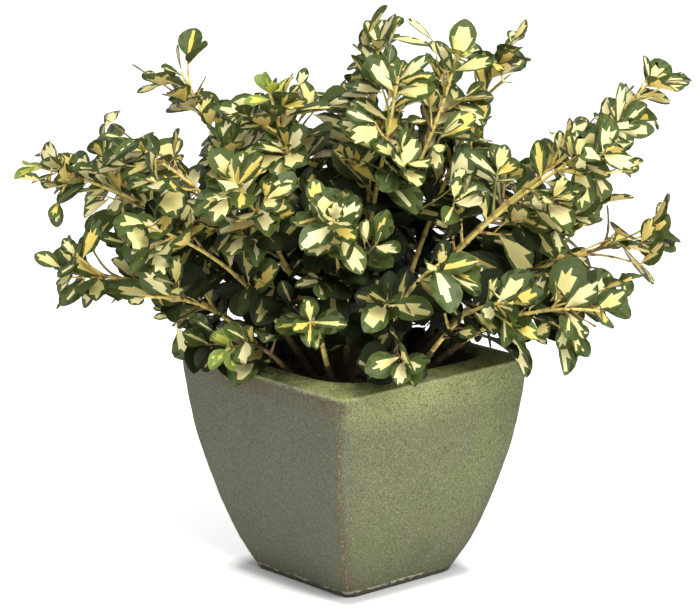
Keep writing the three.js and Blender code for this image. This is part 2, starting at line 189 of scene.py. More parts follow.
# Finer growth than the solids have, in millimetres, degrees and shares
FINE_TWIG_SPACING = 26
FINE_TWIG_RANGE = (0.02, 0.93)
FINE_TWIG_LENGTHS = (0.33, 0.13)
FINE_TWIG_SHORTEST = 24
FINE_TWIG_LONGEST = 84
SPUR_LENGTHS = (16, 30)
SPUR_RANGE = (0.25, 0.75)
SPUR_VARIATION = (-0.08, 0.08)
SPUR_LEAF_SHARE = 0.85
SPUR_RADII = (TWIG_RADII[1] * 1.15, TWIG_RADII[1] * 0.7)
SPUR_NEEDS_TWIG = 56
BOUGH_LEAVES_FROM = 0.13
BOUGH_LEAF_SPACING = 27
BOUGH_LEAF_ANGLE = 70
STEM_LEAF_SPACING = (26, 16)
TWIG_LEAF_SPACING = 20
TWIG_LEAVES_FROM = 0.16
SPRAY_LEAVES_FROM = 0.2
SPRAY_BEND = 0.4
SPRAY_LEAF_SHARE = 0.9
SHORTEST_LIMB_SHARE = 0.2
ROSETTE_STEP = 5.5
ROSETTE_SHARES = (1.0, 0.88, 0.66)
ROSETTE_ANGLES = (62, 42, 18)
LEAF_ANGLES = (66, 48)
LEAF_WIDTH_SHARES = (0.57, 0.76)
LEAF_SHRINKS = (1, 0.82, 0.66)
LEAF_ROOM = 10.4
LEAF_MARGIN = 1.0
LEAF_VARIATION = (0.84, 1.12)
SPACING_VARIATION = (0.85, 1.15)
SLANT_VARIATION = (-14, 14)
TURN_VARIATION = (-16, 16)
DROOP = (0, 0.16)
LEAF_OUTLINE = np.array([[u, v] for u in (0.3, 0.55, 0.8, 1) for v in (-0.45, 0, 0.45)])
YOUNG_LEAF_SHARE = 0.72
YOUNG_ROOM_SHARE = 0.95
TIP_LEAF_SHARE = 1.12
YOUNG_TWIGS = 0.008
YOUNG_ABOVE = 60
BOX_MARGIN = 3
BARE_TIP_SHARE = 0.04
STEM_ROOM_SPACING = 7
GROWTH_SEED = 1000
LEAF_SEED = 500

# Where a leaf's upper side looks: how much its own growth, up, out, the light and chance count, how far
# right and above the front view's camera the light stands, and how much less of it reaches the back
FACE_OWN = 0.3
FACE_UP = 0.4
FACE_OUT = 0.4
FACE_LIGHT = 0.75
FACE_CHANCE = 0.42
LIGHT_RIGHT = 0.35
LIGHT_ABOVE = 0.5
LIT_MIDWAY = 0.6
LIT_DEPTH = 300
# Where along a leaf its room is measured, as shares of its length, and how far aside, of its width
ROOM_MIDDLE = 0.45
ROOM_SPINE = 0.72
ROOM_ASIDE = 0.3

# Leaves nearer the crown's middle than these shares of its reach are in shade, low down and high up
# Such leaves take darker copies of the leaf colours: painted shade
SHADED_DEPTHS = (0.7, 0.4)
SHADED_HEIGHT = 250
SHADED_RANDOMLY = 0.1
# In some masses more leaves count as in shade and take the dark finishes: painted shade
MORE_SHADED_BY = 0.18

# The view from the front, in degrees and millimetres. Its plane stands through the pot's middle, and
# right and up in it are measured from the point that the camera looks at
VIEW_AZIMUTH = 48.13
VIEW_ELEVATION = 13.67
VIEW_DISTANCE = 4000
VIEW_AIM = (-4.4, 307.4)

# Where the crown is open to the sky in that view: circles' places to the right and up, and their radii
SKY_GAPS = [
    # left of the crown
    (-207, 288, 13), (-137, 293, 19), (-158, 276, 8), (-142, 257, 18), (-269, 246, 25), (-299, 228, 22),
    (-355, 217, 27), (-213, 208, 10), (-231, 212, 8), (-179, 190, 11), (-361, 177, 8), (-314, 187, 10),
    (-179, 164, 7), (-370, 127, 11), (-128, 237, 7), (-359, 95, 15), (-306, 91, 9),
    (-341, 11, 10), (-355, 2, 19), (-280, -21, 18), (-280, 4, 8), (-331, -29, 13), (-240, -6, 7),
    (-256, -41, 22), (-213, -38, 7), (-224, 276, 9), (-176, 269, 9), (-224, 229, 9), (-176, 208, 7),
    (-292, 197, 9), (-345, 116, 9), (-311, 116, 8), (-334, 70, 7), (-280, 50, 10), (-344, 29, 9),
    (-252, -2, 7), (-228, -8, 7), (-218, -27, 9), (-198, -32, 8), (-250, 203, 11), (-121, 243, 6),
    (-87, 271, 6), (-308, -16, 6),
    # over the crown
    (-17, 304, 19), (-36, 282, 18), (-8, 276, 8), (-13, 258, 6), (66, 285, 8), (36, 232, 8), (70, 220, 7),
    (131, 254, 7), (165, 308, 9), (211, 285, 12), (185, 218, 21), (172, 193, 11), (168, 240, 6),
    (-110, 276, 11), (-45, 209, 8), (-26, 207, 4), (7, 329, 12), (62, 335, 8), (98, 309, 7), (146, 306, 7),
    (159, 196, 8), (192, 174, 7), (181, 334, 15), (215, 310, 12), (78, 331, 6), (-34, 249, 8),
    # right of the crown
    (219, 248, 27), (202, 201, 11), (235, 223, 11), (249, 267, 25), (283, 279, 20), (286, 247, 8),
    (308, 297, 9), (316, 281, 7), (381, 218, 20), (354, 218, 9), (364, 170, 28), (334, 138, 16),
    (309, 113, 9), (298, 140, 8), (271, 75, 13), (287, 50, 8), (316, 92, 8), (367, 117, 9), (381, 39, 18),
    (352, 7, 13), (351, 43, 8), (280, -40, 11), (210, -49, 8), (312, -44, 13), (314, -26, 7),
    (374, 279, 13), (354, 274, 6), (313, 261, 8), (274, 230, 7), (377, 103, 11), (382, 68, 7),
    (336, -16, 9), (332, 21, 6), (295, 101, 8), (323, 175, 7), (257, 75, 7), (230, 207, 10), (258, 226, 9),
    (331, 293, 6), (329, 178, 7), (381, 89, 7), (299, 47, 6), (286, -29, 7), (316, -20, 7),
    # along the pot's rim
    (107, -79, 12), (135, -70, 12), (165, -61, 11), (-25, -96, 9), (-56, -86, 8), (-83, -81, 6),
    (70, -107, 15), (2, -107, 9), (-181, -94, 8),
]
# Dark places over the soil, which no near leaf crosses
HOLLOWS = [
    (-56, -62, 19), (-36, -69, 19), (-16, -78, 15), (-74, -49, 11), (73, -38, 16), (114, -51, 11),
    (-99, -91, 9), (55, -91, 8), (15, -89, 8),
]
# Sprays at the crown's edge: the share of the mass's shoot that each leaves, then the tip's place to the
# right and up, and its reach forwards
SPRAYS = {
    "top_mid": [
        (0.86, 25, 306, 8), (0.8, 49, 310, -10), (0.72, 2, 249, 10), (0.9, 13, 309, 0), (0.75, 0, 262, 6),
    ],
    "top_front": [(0.8, 34, 248, 10)],
    "top_far_right": [(0.86, 179, 288, 0), (0.8, 182, 258, 10), (0.8, 184, 263, 4), (0.9, 183, 299, 0)],
    "top_left": [
        (0.7, -36, 223, 0), (0.85, -59, 245, 10), (0.8, -99, 249, 0), (0.88, -108, 255, 0),
        (0.8, -50, 254, -6),
    ],
    "left_high": [
        (0.78, -215, 252, 10), (0.9, -182, 276, 0), (0.6, -163, 223, 12), (0.9, -187, 270, 0),
        (0.82, -207, 226, 5), (0.7, -181, 175, 8), (0.8, -222, 254, 4),
    ],
    "left_upper": [(0.8, -269, 207, 0), (0.62, -233, 187, 10)],
    "left_mid": [(0.86, -325, 119, 8), (0.72, -274, 205, 4), (0.85, -327, 126, 6)],
    "left_low": [
        (0.72, -307, 18, 0), (0.55, -235, 7, 10), (0.75, -294, 77, 0), (0.85, -323, 43, 4),
        (0.85, -323, 21, 6),
    ],
    "right_high": [
        (0.86, 359, 249, -5), (0.7, 316, 223, 0), (0.6, 276, 214, -8), (0.93, 331, 270, 4),
        (0.9, 307, 240, 0), (0.8, 277, 223, 5), (0.62, 210, 187, 4),
    ],
    "right_mid": [
        (0.8, 352, 99, 5), (0.75, 357, 72, 10), (0.7, 334, 43, 8), (0.6, 298, 79, 0), (0.5, 280, 119, 0),
        (0.8, 288, 113, 5), (0.86, 339, 104, 4), (0.9, 342, 45, 4),
    ],
    "right_low": [
        (0.75, 316, 7, 0), (0.6, 294, 23, 10), (0.5, 242, -26, 10), (0.92, 325, 6, 0), (0.75, 247, -22, 8),
    ],
    "left_under": [(0.85, -218, -5, 5), (0.6, -200, -31, 8)],
    "top_right": [(0.85, 93, 299, 0), (0.68, 90, 220, 8)],
    "right_upper": [(0.8, 298, 155, 5)],
    "right_front": [(0.45, 154, -36, 10)],
    "rim_front": [(0.45, -56, -51, 25)],
    "rim_left": [(0.5, -161, -43, 10)],
    "front_right": [(0.35, 54, -62, 35)],
    "back_right": [(0.36, 74, 83, -16), (0.42, 97, 82, -10), (0.3, 66, 50, -14)],
    "back_right_low": [(0.3, 106, 15, -12), (0.29, 86, -22, -12), (0.32, 117, -28, -10)],
    "back_mid": [(0.34, 6, 49, -10)],
}
# Masses and the stretch of their shoots that no leaf hides from the front
SEEN_STEMS = [
    ("top_far_right", 0.26, 0.7), ("top_right", 0.64, 0.88), ("top_front", 0.78, 0.91),
    ("right_upper", 0.42, 0.55), ("right_high", 0.44, 0.57), ("right_high", 0.62, 0.7),
    ("right_low", 0.6, 0.9), ("left_mid", 0.68, 0.86), ("left_upper", 0.66, 0.82),
    ("front_left", 0.5, 0.75),
]
SIGHT_WIDTH = 4
SPARSE_TWIGS = 0.5
SPARSE_MASSES = (
    "front_mid", "front_right", "front_left", "right_front", "rim_right", "rim_left", "rim_front")
# Masses whose leaves more often take the dark shaded finishes: painted shade
MORE_SHADED_MASSES = ("front_mid", "front_right", "rim_front", "rim_right", "front_upper_left")
YOUNG_TIPS = ("top_right", "left_mid", "rim_left", "top_left")

# A leaf's stations from its root to its tip, as shares of its length, and its columns from midrib to edge
STATIONS = (0, 0.11, 0.2, 0.33, 0.48, 0.63, 0.78, 0.92, 1)
PETIOLE_SHARE = 0.1
UPPER_COLUMNS = 3
LOWER_COLUMNS = 2
BARE_MIDRIB = 0.045
STALK_HALF_WIDTH = 0.045
# How the outline's sine is bent: towards the tip, and fuller
OBOVATE = 1.12
FULLNESS = 0.6
# A blotch's share of the half width on most leaves and on streaky ones, and the shares of leaves that are
# streaky and that are green
BLOTCH_AMOUNTS = (0.52, 0.9)
STREAK_AMOUNTS = (0.18, 0.4)
GREEN_AMOUNT = 0.05
STREAKY = 0.24
GREEN = 0.08
GREEN_IN_SHADE = 0.65
BLOTCH_STOPS = (0.66, 1.0)
FINGERS = (0.85, 1.1)
NOTCHES = (0.5, 0.85)
ZONE_REACHES = (0.22, 0.62)
# How far the blotch's edge slides towards the tip at a finger and at a notch, as shares of the length
EDGE_SLIDES = (0.11, -0.045)
# A leaf's bends: the fold along its midrib and the twist in degrees, the others as shares of its length
FOLDS = (3, 27)
TWISTS = (-14, 14)
CURLS = (-0.05, 0.2)
CUPS = (-0.1, 0.12)
BENDS = (-0.07, 0.07)
QUILTING = (0.45, -0.35)
EDGE_WOBBLE = (-0.02, 0.02)
FORWARD_SHEAR = 0.2
# Leaves low in the crown have smaller blotches: heights over the soil, and the share of the blotch at each
BLOTCH_HEIGHTS = (30, 220)
BLOTCH_SHARES = (0.7, 1.08)
# Past the blotch's end, the midrib's strip takes the finish of the zone beside it, above and below
BLOTCH_NEXT = {0: 1, 3: 4}
LEAF_FINISHES = [
    "margin_deep", "margin_mid", "margin_light", "zone_blue", "zone_green",
    "blotch_cream", "blotch_yellow", "blotch_golden", "under_rim", "under_tan", "under_pale",
    "young_green", "young_lime", "shade_green", "shade_zone", "shade_blotch"]

# Limbs as meshes: sides and spacing of the rings of stems, twigs and spurs, in millimetres. A bough also
# has its nodes' first and last share and their number, and its ridges' and grain's height and fineness
LIMB_RINGS = ((8, 4.5), (6, 5), (5, 6))
BOUGH_RINGS = (12, 2.0)
BOUGH_NODES = (0.05, BOUGH_SHARE - 0.03, 4)
BOUGH_SPREAD = 0.35
BOUGH_SPREAD_HEIGHT = 7
BARK_RIDGE = (1.4, 0.09)
BARK_GRAIN = (0.4, 0.5)
STEM_NODE_SPACING = 22
NODE_WIDTH = 1.8
NODE_SWELLING = 0.3
SCAR_WIDTH = 2.6
# Limbs that end below this height over the soil, in millimetres, take the brown finish as painted shade
SHADED_BROWN_BELOW = 90
TWIG_FINISHES = ["twig_golden", "twig_tan", "twig_green", "twig_brown"]
TWIG_DEAL = ["twig_tan", "twig_golden", "twig_green", "twig_brown"]
# The finish that each of those has on the scars at its nodes
SCAR_FINISHES = ["twig_tan", "twig_brown", "twig_green", "twig_brown"]

# Lamps: name, width and place in metres, all aimed at one point. Then how far the floor reaches, and how
# far from the foot it is without its glow and darker
LAMPS = (("key", 1.9, (2.1, -0.5, 2.4)), ("fill", 2.0, (-0.8, -2.6, 1.4)))
LAMPS_AIM = (0, 0, 0.35)
FLOOR_HALF = 14
# Near the foot the floor loses its glow and is darker: a painted contact shadow
GLOW_FROM_FOOT = 0.046
CONTACT_SHADOW = 0.026
CONTACT_SHADE = 0.55

Leaf = namedtuple("Leaf", "root blade across face long wide kind lot")
Tube = namedtuple("Tube", "curve start stop radii depth kind")


def linear(code):
    """A colour's linear red, green and blue from its six-digit code."""
    channels = [int(code[i:i + 2], 16) / 255 for i in (0, 2, 4)]
    return tuple(c / 12.92 if c <= 0.04045 else ((c + 0.055) / 1.055) ** 2.4 for c in channels)


def colour(name, description, code):
    return FloatVectorProperty(
        name=name, description=description, subtype="COLOR", size=3, min=0, max=1, default=linear(code))


def number(name, description, value, **more):
    return FloatProperty(name=name, description=description, default=value, **more)


def length(name, description, millimetres):
    return number(name, description, millimetres * MM, unit="LENGTH")


class PotSettings(bpy.types.PropertyGroup):
    """The pot's finish"""
    seam_height: length("Seam ridge", "How far the seam at each corner stands proud", 0.7)
    unevenness: length("Unevenness", "How far the hand-pressed walls wander", 0.55)
    body: colour("Stoneware", "The fired clay", "545747")
    # A lighter green, laid mostly on the walls that face the key light: a wash and painted light
    wash: colour("Green wash", "The green wash on the sunny walls", "686a47")
    moss: colour("Moss", "The growth in damp patches", "64723c")
    # Pale growth on the rim, lightened as painted light, and a painted highlight along the top of the lit
    # walls
    mossy_rim: colour("Mossy rim", "The paler growth on the rim's top", "a5ad68")
    rust: colour("Rust", "The iron stain at the seams", "57462f")
    chip: colour("Chips", "Pale clay where the foot is chipped", "b4b19a")
    pit: colour("Pits", "Dark specks in the clay", "3d4030")
    bare_clay: colour("Bare foot", "The dark clay of the foot's edge", "37312a")


class PlantSettings(bpy.types.PropertyGroup):
    """The plant's sizes and its bark"""
    longest_leaf: length("Longest leaf", "Length of the leaves low on a shoot", 67)
    shortest_leaf: length("Shortest leaf", "Length of the leaves near a shoot's tip", 48)
    leaf_thickness: length("Leaf thickness", "Thickness of a leaf at its midrib", 0.7)
    bark_relief: length("Bark relief", "Depth of the bark's ridges", 0.5)
    bark: colour("Bark", "The boughs' bark", "8a7448")
    bark_dark: colour("Bark cracks", "The bark between its ridges", "4a3a24")
    bark_green: colour("Green bark", "Growth on the bark in patches", "6f7a4a")
    soil: colour("Potting mix", "The damp potting mix", "33271c")
    soil_dry: colour("Dry crumbs", "The mix where it has dried", "5b4a38")


class LeafColours(bpy.types.PropertyGroup):
    """The plain colours that leaves and twigs are dealt"""
    margin_deep: colour("Deep margin", "A dark green leaf margin", "2d380e")
    margin_mid: colour("Margin", "A green leaf margin", "3e4c1a")
    margin_light: colour("Light margin", "A lighter green leaf margin", "4c5b23")
    zone_blue: colour("Blue-green zone", "Grey-green beside the blotch", "4f5e39")
    zone_green: colour("Green zone", "Soft green beside the blotch", "4f5e2b")
    blotch_cream: colour("Cream blotch", "A cream blotch", "e8dea6")
    blotch_yellow: colour("Yellow blotch", "A yellow blotch", "e7dc92")
    blotch_golden: colour("Golden blotch", "A golden blotch", "e6cc6a")
    under_rim: colour("Underside rim", "A leaf's green underside", "4f5c30")
    under_tan: colour("Underside blotch", "The blotch on a leaf's underside", "ecd47e")
    under_pale: colour("Pale underside", "A paler blotch on the underside", "ecd890")
    young_green: colour("Young green", "New growth's margin", "84964a")
    young_lime: colour("Young lime", "New growth's blotch", "d8d766")
    # Darker copies of the leaf colours for leaves deep in the crown: painted shade
    shade_green: colour("Shaded green", "A leaf deep in the crown", "1c240f")
    shade_zone: colour("Shaded zone", "The middle of a leaf deep in the crown", "2a3418")
    shade_blotch: colour("Shaded blotch", "The blotch of a leaf deep in the crown", "a3975a")
    twig_golden: colour("Golden twig", "A twig in the light", "ecd67a")
    twig_tan: colour("Tan twig", "A twig", "c9ab66")
    twig_green: colour("Green twig", "A young twig", "94944f")
    # A brown of twigs and scars, and on twigs low in the crown painted shade
    twig_brown: colour("Brown twig", "A shaded twig", "75603f")


class StageSettings(bpy.types.PropertyGroup):
    """The camera and the studio"""
    azimuth: number("Azimuth", "Camera's turn from +Y in degrees", VIEW_AZIMUTH)
    elevation: number("Elevation", "Camera's height angle in degrees", VIEW_ELEVATION)
    distance: length("Distance", "Camera's distance from the point that it looks at", VIEW_DISTANCE)
    lens: number("Lens", "Focal length in millimetres", 183.48)
    aim_height: length("Aim height", "Height looked at", VIEW_AIM[1])
    aim_right: length("Aim offset", "How far to the right of the pot's middle is looked at", VIEW_AIM[0])
    key_power: number("Key light", "Power of the key light in watts", 107)
    fill_power: number("Fill light", "Power of the fill light in watts", 5)
    sky: number("Sky", "Strength of the white surroundings", 0.66)
    floor: colour("Floor", "The pale floor", "fbfbfa")
    floor_glow: number("Floor glow", "Light of the lit floor itself", 0.49)


# Materials

class Shade:
    """A node socket with arithmetic: each operation adds a Math node."""

    def __init__(self, finish, socket):
        self.finish = finish
        self.socket = socket

    def _math(self, operation, first, second):
        settings = {"operation": operation}
        return self.finish.node("ShaderNodeMath", settings, {0: first, 1: second})["Value"]

    def __add__(self, other):
        return self._math("ADD", self, other)

    __radd__ = __add__

    def __sub__(self, other):
        return self._math("SUBTRACT", self, other)

    def __rsub__(self, other):
        return self._math("SUBTRACT", other, self)

    def __mul__(self, other):
        return self._math("MULTIPLY", self, other)

    __rmul__ = __mul__

    def __abs__(self):
        return self._math("ABSOLUTE", self, 0)

    def minimum(self, other):
        return self._math("MINIMUM", self, other)

    def maximum(self, other):
        return self._math("MAXIMUM", self, other)

    def rising(self, low, high):
        """A smooth step from 0 below low to 1 above high."""
        settings = {"interpolation_type": "SMOOTHSTEP"}
        return self.finish.node(
            "ShaderNodeMapRange", settings, {"Value": self, "From Min": low, "From Max": high})["Result"]


class Finish:
    """A material made of one Principled shader and the nodes that feed it."""

    def __init__(self, name, base=None):
        self.material = bpy.data.materials.new(name)
        self.material.use_nodes = True
        self.tree = self.material.node_tree
        self.shader = self.tree.nodes["Principled BSDF"]
        self.tint = base

    def node(self, kind, settings, values):
        made = self.tree.nodes.new(kind)
        for name, value in settings.items():
            setattr(made, name, value)
        for name, value in values.items():
            self._feed(made.inputs[name], value)
        return {socket.name: Shade(self, socket) for socket in made.outputs if socket.enabled}

    def _feed(self, socket, value):
        if isinstance(value, Shade):
            self.tree.links.new(value.socket, socket)
        elif socket.type == "RGBA":
            socket.default_value = (*value, 1)
        else:
            socket.default_value = value

    def set(self, **values):
        """Feeds the shader's sockets, whose names are written with underscores."""
        for name, value in values.items():
            self._feed(self.shader.inputs[name.replace("_", " ")], value)

    def place(self):
        """The object's own coordinates and their X, Y and Z."""
        position = self.node("ShaderNodeTexCoord", {}, {})["Object"]
        parts = self.node("ShaderNodeSeparateXYZ", {}, {"Vector": position})
        return position, parts["X"], parts["Y"], parts["Z"]

    def noise(self, position, size, detail=3.0, roughness=0.55):
        """Noise whose features are about size metres across."""
        values = {"Vector": position, "Scale": 1 / size, "Detail": detail, "Roughness": roughness}
        return self.node("ShaderNodeTexNoise", {}, values)["Fac"]

    def mixed(self, share, first, second):
        sockets = {"Factor_Float": share, "A_Color": first, "B_Color": second}
        made = self.tree.nodes.new("ShaderNodeMix")
        made.data_type = "RGBA"
        for socket in made.inputs:
            if socket.identifier in sockets:
                self._feed(socket, sockets[socket.identifier])
        return next(Shade(self, socket) for socket in made.outputs if socket.identifier == "Result_Color")

    def coat(self, share, over):
        """Lays a colour over the tint so far."""
        self.tint = self.mixed(share, self.tint, over)

    def bump(self, height, depth, strength):
        values = {"Height": height, "Distance": depth, "Strength": strength}
        return self.node("ShaderNodeBump", {}, values)["Normal"]


def living_finish(name, base, roughness, specular, relief_size, relief_depth):
    """A plain colour over a fine relief, for leaves and twigs."""
    finish = Finish(name)
    relief = finish.noise(finish.place()[0], relief_size, 3, 0.6)
    finish.set(
        Base_Color=base, Specular_IOR_Level=specular, Roughness=roughness + (relief - 0.5) * 0.3,
        Normal=finish.bump(relief, relief_depth, 0.8))
    return finish.material


class Stoneware(Finish):
    """Green-washed stoneware: speckled, mossy on the rim, rusty at the seams and chipped at the foot, with
    the walls that face the key light washed lighter as painted light.
    """

    def __init__(self, pot):
        super().__init__("stoneware", pot.body)
        self.pot = pot
        self.top = POT_HEIGHT * MM
        self.position, turned_x, turned_y, self.z = self.place()
        turn = self.z * (1 - self.z * (1 / self.top)) * (4 * WALL_TWIST / self.top)
        self.x = turned_x + turn * turned_y
        self.y = turned_y - turn * turned_x
        self.grain = self.noise(self.position, 0.0019, 3, 0.7)
        self.mottle = self.noise(self.position, 0.03, 5, 0.6)
        self.ragged = self.noise(self.position, 0.014, 5, 0.7)
        self.patches = self.noise(self.position, 0.11, 4)
        self.specks = self.noise(self.position, 0.0034, 2, 0.6).rising(0.6, 0.68)
        # The walls that face the key light: the lighter wash and marks that this lays on them are painted
        # light
        self.sunny = (self.x - abs(self.y) + 0.02).rising(-0.02, 0.09)
        self.beside_seam = abs(abs(self.x) - abs(self.y))
        self.below_rim = 1 - self.z.rising(self.top - 0.006, self.top - 0.003)
        self.wash()
        self.stain()
        self.speckle()
        self.wear_foot()
        self.wear_rim()
        relief = self.grain * 0.5 + self.mottle * 0.35 - self.specks * 0.6
        self.set(
            Base_Color=self.tint, Roughness=0.62 + self.mottle * 0.25, Specular_IOR_Level=0.35,
            Normal=self.bump(relief, 0.0006, 0.7))

    def band(self, start, whole, fading, end):
        """A band round the rim, by depths under the rim's top: it sets in, is whole, fades and ends."""
        return self.z.rising(self.top - start, self.top - whole) * (
            1 - self.z.rising(self.top - fading, self.top - end))

    def wash(self):
        """The green wash, laid mostly on the lamplit walls as painted light, moss in damp streaks of the
        lamplit wall, a painted highlight along its top, pale growth on the rim lightened as painted light,
        and darker towards the foot.
        """
        stretched = self.node("ShaderNodeMapping", {}, {"Vector": self.position, "Scale": (1, 1, 0.4)})
        streaks = self.noise(stretched["Vector"], 0.035, 4, 0.6)
        # The wash in patches, weighted towards the walls that face the key light: painted light
        washed = self.mottle * 0.5 + self.sunny * 0.72 + self.patches * 0.3
        self.coat(washed.rising(0.3, 1.05), self.pot.wash)
        damp = (self.patches + self.sunny * 0.09).rising(0.56, 0.74) * 0.5
        streaked = self.y.rising(-0.01, 0.07) * streaks.rising(0.42, 0.58) * 0.6
        self.coat(((damp + streaked) * self.sunny).minimum(1), self.pot.moss)
        # Painted highlight: a paler band along the top of the walls that face the key light
        self.coat(self.z.rising(self.top - 0.06, self.top - 0.012) * self.sunny * 0.5, self.pot.mossy_rim)
        # The rim's pale growth, made lighter against the foliage's shade: moss and painted light
        on_rim = self.z.rising(self.top - 0.008, self.top - 0.0045)
        self.coat(on_rim * self.mottle.rising(0.34, 0.56) * 0.85, self.pot.mossy_rim)
        self.coat(on_rim * self.ragged.rising(0.46, 0.64) * 0.36, self.pot.pit)
        # Darker towards the foot
        self.coat((1 - self.z.rising(0.0, 0.16)) * (0.6 + self.patches * 0.7) * 0.42, self.pot.pit)

    def stain(self):
        """Rust along the seams, wider towards the foot, and under the rim of the shaded walls."""
        edge = self.beside_seam * (self.z * 3 + 0.25) + (self.ragged - 0.5) * 0.012
        at_seam = (1 - edge.rising(0.0015, 0.0065)) * (0.3 + self.ragged + self.mottle * 0.4)
        patchy = (self.patches + self.ragged * 0.3).rising(0.6, 0.8)
        under_rim = self.band(0.034, 0.02, 0.01, 0.006) * patchy
        rim_line = self.band(0.02, 0.011, 0.009, 0.006) * self.ragged.rising(0.35, 0.6)
        rusty = (under_rim * 0.7 + rim_line * 0.6) * (1 - self.sunny)
        self.coat((at_seam * self.below_rim * 0.6 + rusty).minimum(1), self.pot.rust)

    def speckle(self):
        """Dark specks and pale grains, and a rusty and pale line down each seam."""
        self.coat(self.specks * 0.75, self.pot.pit)
        self.coat(self.grain.rising(0.46, 0.6) * 0.62, self.pot.pit)
        # Pale grains, a little stronger on the walls that face the key light: painted light
        self.coat((1 - self.grain.rising(0.34, 0.46)) * (0.15 + self.sunny * 0.08), self.pot.chip)
        line = (1 - self.beside_seam.rising(0.0006, 0.0024)) * self.below_rim
        self.coat(line * (self.ragged * 0.6 + self.grain * 0.6).rising(0.56, 0.68) * 0.7, self.pot.rust)
        self.coat(line * (1 - self.grain.rising(0.36, 0.46)) * 0.4, self.pot.chip)

    def wear_foot(self):
        """A dark bare foot under a broken line of pale chips."""
        edge = self.noise(self.position, 0.008, 4)
        worn = self.noise(self.position, 0.025, 3)
        self.coat((1 - (self.z + edge * 0.006).rising(0.0072, 0.0105)) * 0.85, self.pot.bare_clay)
        along = 1 - abs(self.z - 0.0145 + edge * 0.01 + self.grain * 0.004).rising(0.0003, 0.0018)
        chipped = along * (edge + worn + self.grain * 0.5).rising(1.2, 1.34)
        # Chips dimmer on the shaded walls: painted shade
        self.coat(chipped * (self.sunny * 0.25 + 0.5), self.pot.chip)

    def wear_rim(self):
        """Pale dots along the rim's edge, and faint dark blotches over the whole."""
        # Pale dots, half as strong on the walls that face the key light, set by how the light falls
        dotted = (self.grain * 0.6 + self.ragged * 0.7).rising(0.66, 0.78) * (1 - self.sunny * 0.5)
        self.coat(self.band(0.011, 0.0065, 0.0055, 0.001) * dotted * 0.6, self.pot.chip)
        self.coat(self.noise(self.position, 0.045, 6, 0.65).rising(0.5, 0.72) * 0.3, self.pot.pit)


def bark_finish(plant):
    """Dull tan bark with lengthwise cracks, darker near the soil, with some green growth."""
    finish = Finish("bark", plant.bark)
    position, _, _, z = finish.place()
    streaks = finish.noise(position, 0.004, 4, 0.65)
    patches = finish.noise(position, 0.02, 3)
    low = 1 - z.rising(SOIL_TOP * MM + 0.01, SOIL_TOP * MM + 0.09)
    finish.coat((streaks * 0.7 + low * 0.55).rising(0.35, 0.85), plant.bark_dark)
    finish.coat(patches.rising(0.55, 0.7) * 0.35, plant.bark_green)
    finish.set(
        Base_Color=finish.tint, Roughness=0.72 + streaks * 0.2, Normal=finish.bump(streaks, 0.0008, 0.8))
    return finish.material


def soil_finish(plant):
    """Damp potting mix with paler dry crumbs."""
    finish = Finish("potting_mix", plant.soil)
    position = finish.place()[0]
    crumbs = finish.noise(position, 0.005, 5, 0.7)
    dry = finish.noise(position, 0.03, 3)
    finish.coat((crumbs * 0.8 + dry * 0.4).rising(0.5, 0.85), plant.soil_dry)
    finish.set(
        Base_Color=finish.tint, Roughness=0.86 + crumbs * 0.1, Normal=finish.bump(crumbs, 0.002, 0.9))
    return finish.material


# Pieces

def new_piece(name, mesh, materials, replaced=()):
    """Puts a finished mesh in the scene, riding on the one body."""
    piece = bpy.data.objects.new(name, mesh)
    bpy.context.scene.collection.objects.link(piece)
    for material in materials:
        mesh.materials.append(material)
    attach(piece, "root")
    if replaced:
        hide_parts(*replaced)
    return piece


def mesh_of(name, bm, smooth=True):
    mesh = bpy.data.meshes.new(name)
    for face in bm.faces:
        face.smooth = smooth
    bm.to_mesh(mesh)
    bm.free()
    return mesh


def mesh_of_arrays(name, vertices, faces, material_numbers=None):
    mesh = bpy.data.meshes.new(name)
    mesh.from_pydata(vertices.tolist(), [], faces)
    mesh.polygons.foreach_set("use_smooth", [True] * len(faces))
    if material_numbers is not None:
        mesh.polygons.foreach_set("material_index", material_numbers)
    mesh.update()
    return mesh


# The pot and its soil

def outer_half(z):
    """Half the pot's side at a height: an arc from foot to rim that swells by WALL_BULGE."""
    chord = math.hypot(RIM_HALF - FOOT_HALF, POT_HEIGHT)
    radius = (chord ** 2 / 4 + WALL_BULGE ** 2) / (2 * WALL_BULGE)
    along = (z / POT_HEIGHT - 0.5) * chord
    swell = math.sqrt(radius ** 2 - along ** 2) - (radius - WALL_BULGE)
    return FOOT_HALF + (RIM_HALF - FOOT_HALF) * z / POT_HEIGHT + swell


def inner_half(z):
    return outer_half(z) - (WALL_THICKNESS + (RIM_WIDTH - WALL_THICKNESS) * z / POT_HEIGHT)


def wall_twist(share):
    """How far the hand-pressed walls turn about Z at a share of the height, most at half height."""
    return 4 * WALL_TWIST * share * (1 - share)


